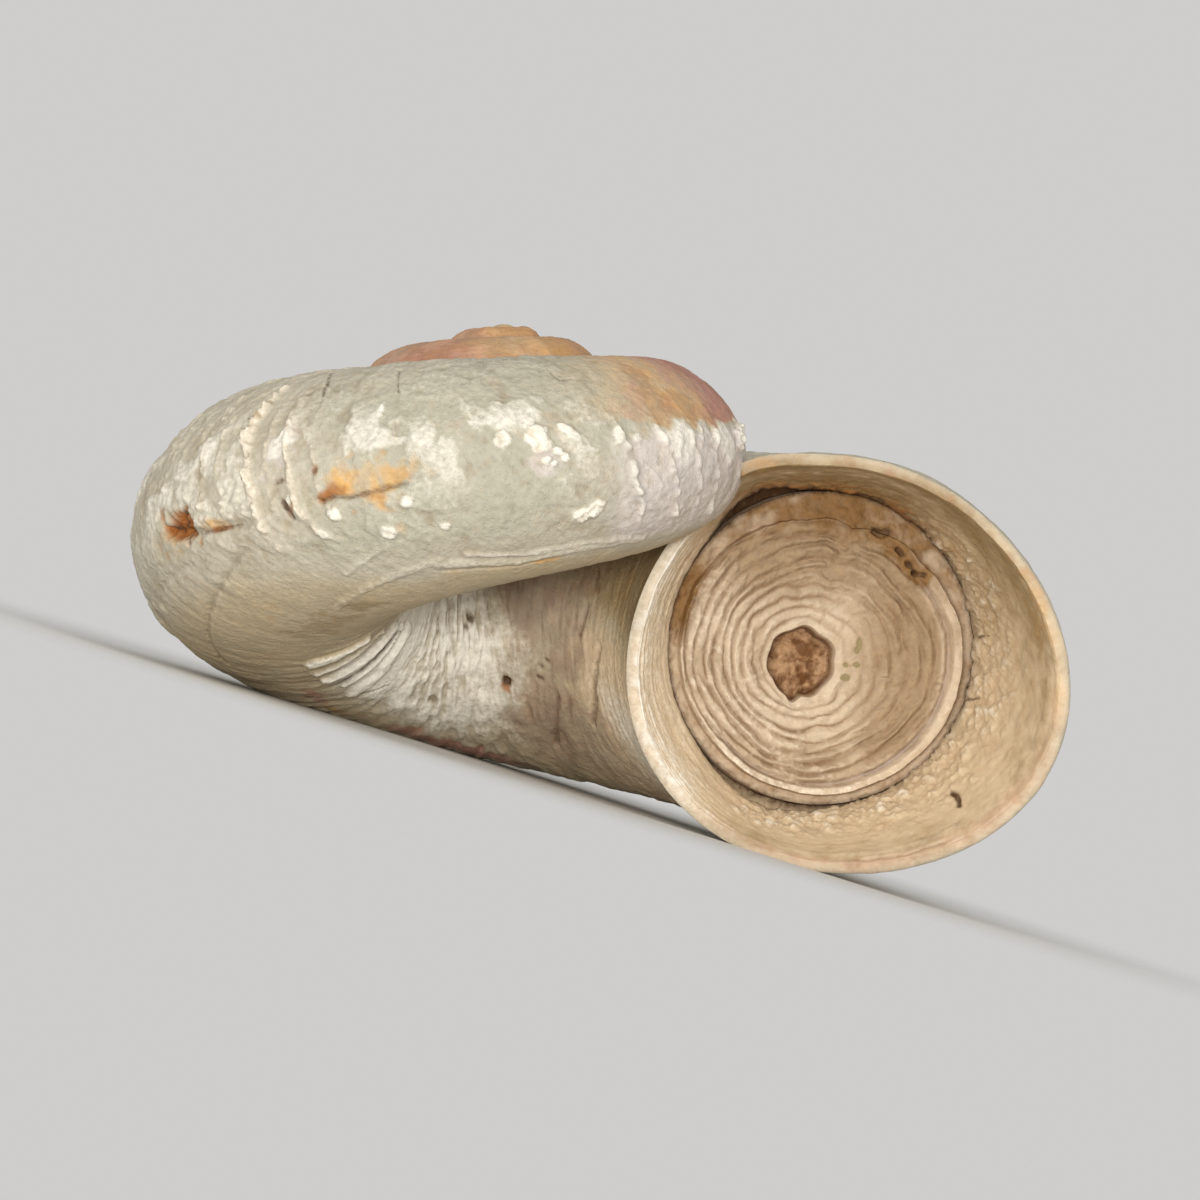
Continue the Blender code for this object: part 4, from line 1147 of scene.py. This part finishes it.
# Painted shade and dirt in a ring round the foot of the pit's wall
masks["dirt_and_shade"] = in_pit * span(radius, 0.84 * PIT_RADIUS, 0.97 * PIT_RADIUS, 0.05) * 0.45
top = hump(angle, 1.35, 0.80)
masks["stain"] = on_flange * (0.22 + 0.70 * top + 0.25 * nibbled)
cover(masks, "stain", in_field * top * rise(outward, 0.72, 0.98) * (0.55 + 0.4 * nibbled))
left = hump(angle, 2.78, 0.36) * rise(radius, 3.80, 4.05)
cover(masks, "stain", 1.1 * left)
cover(masks, "dirt_and_shade", 0.30 * left * rise(nibbled, -0.2, 0.3))
# Painted shade and dirt at the flange's outer edge, by the gap to the seat
cover(masks, "dirt_and_shade", 0.55 * on_flange * rise(radius, LID_RADIUS - 0.22, LID_RADIUS))
# Chalk on the pale outer band, and lighter towards the lower left as painted light
masks["chalk"] = in_field * (0.18 * band + rise(-right - 0.5 * up, -0.8, 2.6) * (0.26 + 0.12 * nibbled))
for right_0, up_0, half_width, half_height in LID_SPECKS:
    reach = np.hypot((right - right_0) / half_width, (up - up_0) / half_height) + 0.3 * nibbled
    body = rise(reach, 1.3, 0.7)
    cover(masks, "moss", 0.75 * body)
    out = out - 0.03 * body
for half_width, depth, dirt_and_shade, places in LID_CRACKS:
    reach = line_reach(right, up, places)
    body = rise(reach / half_width + 0.9 * nibbled + 0.4 * fine, 1.5, 0.3)
    out = out + depth * body
    cover(masks, "stain", 0.8 * rise(reach + 0.15 * nibbled, 0.40, 0.10))
    cover(masks, "dirt_and_shade", dirt_and_shade * body)
lid_points = lid_place(x, y, out)
lid_back = lid_axes()[0] - LID_THICKNESS * lid_axes()[3]
lid = grid_piece("lid", lid_points, masks, lid_finish(), (lid_points[0].mean(axis=0), lid_back))
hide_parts("operculum")

# Floor, light and camera
# The shell lies on a plain pale floor under soft studio light. The camera looks almost level, along the
# photograph's line of sight, through a long lens, turned so that the coiling axis stands upright.

PICTURE_WIDTH = 33.96
PICTURE_MIDDLE = (2.728, -8.133)
LENS = 1200.0
SENSOR = 36.0
PAPER = (0.72, 0.715, 0.70, 1.0)
FLOOR_RADIUS = 0.12
FLOOR_CLEAR = (0.012, 0.030)
WORLD_COLOUR = (1.0, 0.99, 0.975, 1.0)
WORLD_STRENGTH = 0.62


def floor_finish():
    """Plain pale matt paper that fades out with distance from the shell."""
    finish = bpy.data.materials.new("pale_paper")
    finish.use_nodes = True
    tree = finish.node_tree
    shader = tree.nodes["Principled BSDF"]
    shader.inputs["Roughness"].default_value = 1.0
    shader.inputs["Specular IOR Level"].default_value = 0.0
    shader.inputs["Base Color"].default_value = PAPER
    place = add_node(tree, "ShaderNodeTexCoord").outputs["Object"]
    distance = add_node(tree, "ShaderNodeVectorMath", {0: place}, operation="LENGTH")
    fade = stepped(tree, distance.outputs["Value"], FLOOR_CLEAR[1], FLOOR_CLEAR[0])
    tree.links.new(fade, shader.inputs["Alpha"])
    return finish


bpy.ops.mesh.primitive_circle_add(vertices=96, radius=FLOOR_RADIUS, fill_type="NGON")
floor = bpy.context.object
floor.name = "floor"
floor.data.materials.append(floor_finish())

view_right = COIL_TURN @ Vector(FRONT_RIGHT)
view_up = COIL_TURN @ Vector(FRONT_UP)
view_back = view_right.cross(view_up)
aim = Vector(laid((PICTURE_MIDDLE[0] * FRONT_RIGHT + PICTURE_MIDDLE[1] * FRONT_UP)[None])[0])
distance = LENS / SENSOR * PICTURE_WIDTH * MM
camera = bpy.data.objects.new("camera", bpy.data.cameras.new("camera"))
camera.data.lens = LENS
camera.data.sensor_width = SENSOR
camera.data.clip_end = 10.0
camera.matrix_world = Matrix.Translation(aim + distance * view_back) @ Matrix(
    (view_right, view_up, view_back)).transposed().to_4x4()
bpy.context.scene.collection.objects.link(camera)
bpy.context.scene.camera = camera

# Soft boxes: right, up and towards the camera from the shell in metres, side length in metres, watts
SOFT_BOXES = (
    ("key", (-0.13, 0.18, 0.28), 0.12, 0.16), ("front", (0.00, 0.035, 0.36), 0.07, 0.44),
    ("side", (0.16, 0.12, 0.22), 0.12, 0.13), ("low", (-0.07, 0.012, 0.34), 0.08, 0.50),
)
for name, (to_right, to_up, to_front), size, power in SOFT_BOXES:
    light = bpy.data.lights.new(name, "AREA")
    light.size = size
    light.energy = power
    soft_box = bpy.data.objects.new(name, light)
    soft_box.visible_camera = False
    away = to_right * view_right + to_up * view_up + to_front * view_back
    soft_box.matrix_world = Matrix.Translation(aim + away) @ away.to_track_quat("Z", "Y").to_matrix().to_4x4()
    bpy.context.scene.collection.objects.link(soft_box)

world = bpy.data.worlds.new("studio")
world.use_nodes = True
world.node_tree.nodes["Background"].inputs["Color"].default_value = WORLD_COLOUR
world.node_tree.nodes["Background"].inputs["Strength"].default_value = WORLD_STRENGTH
bpy.context.scene.world = world
bpy.context.scene.view_settings.view_transform = "Standard"
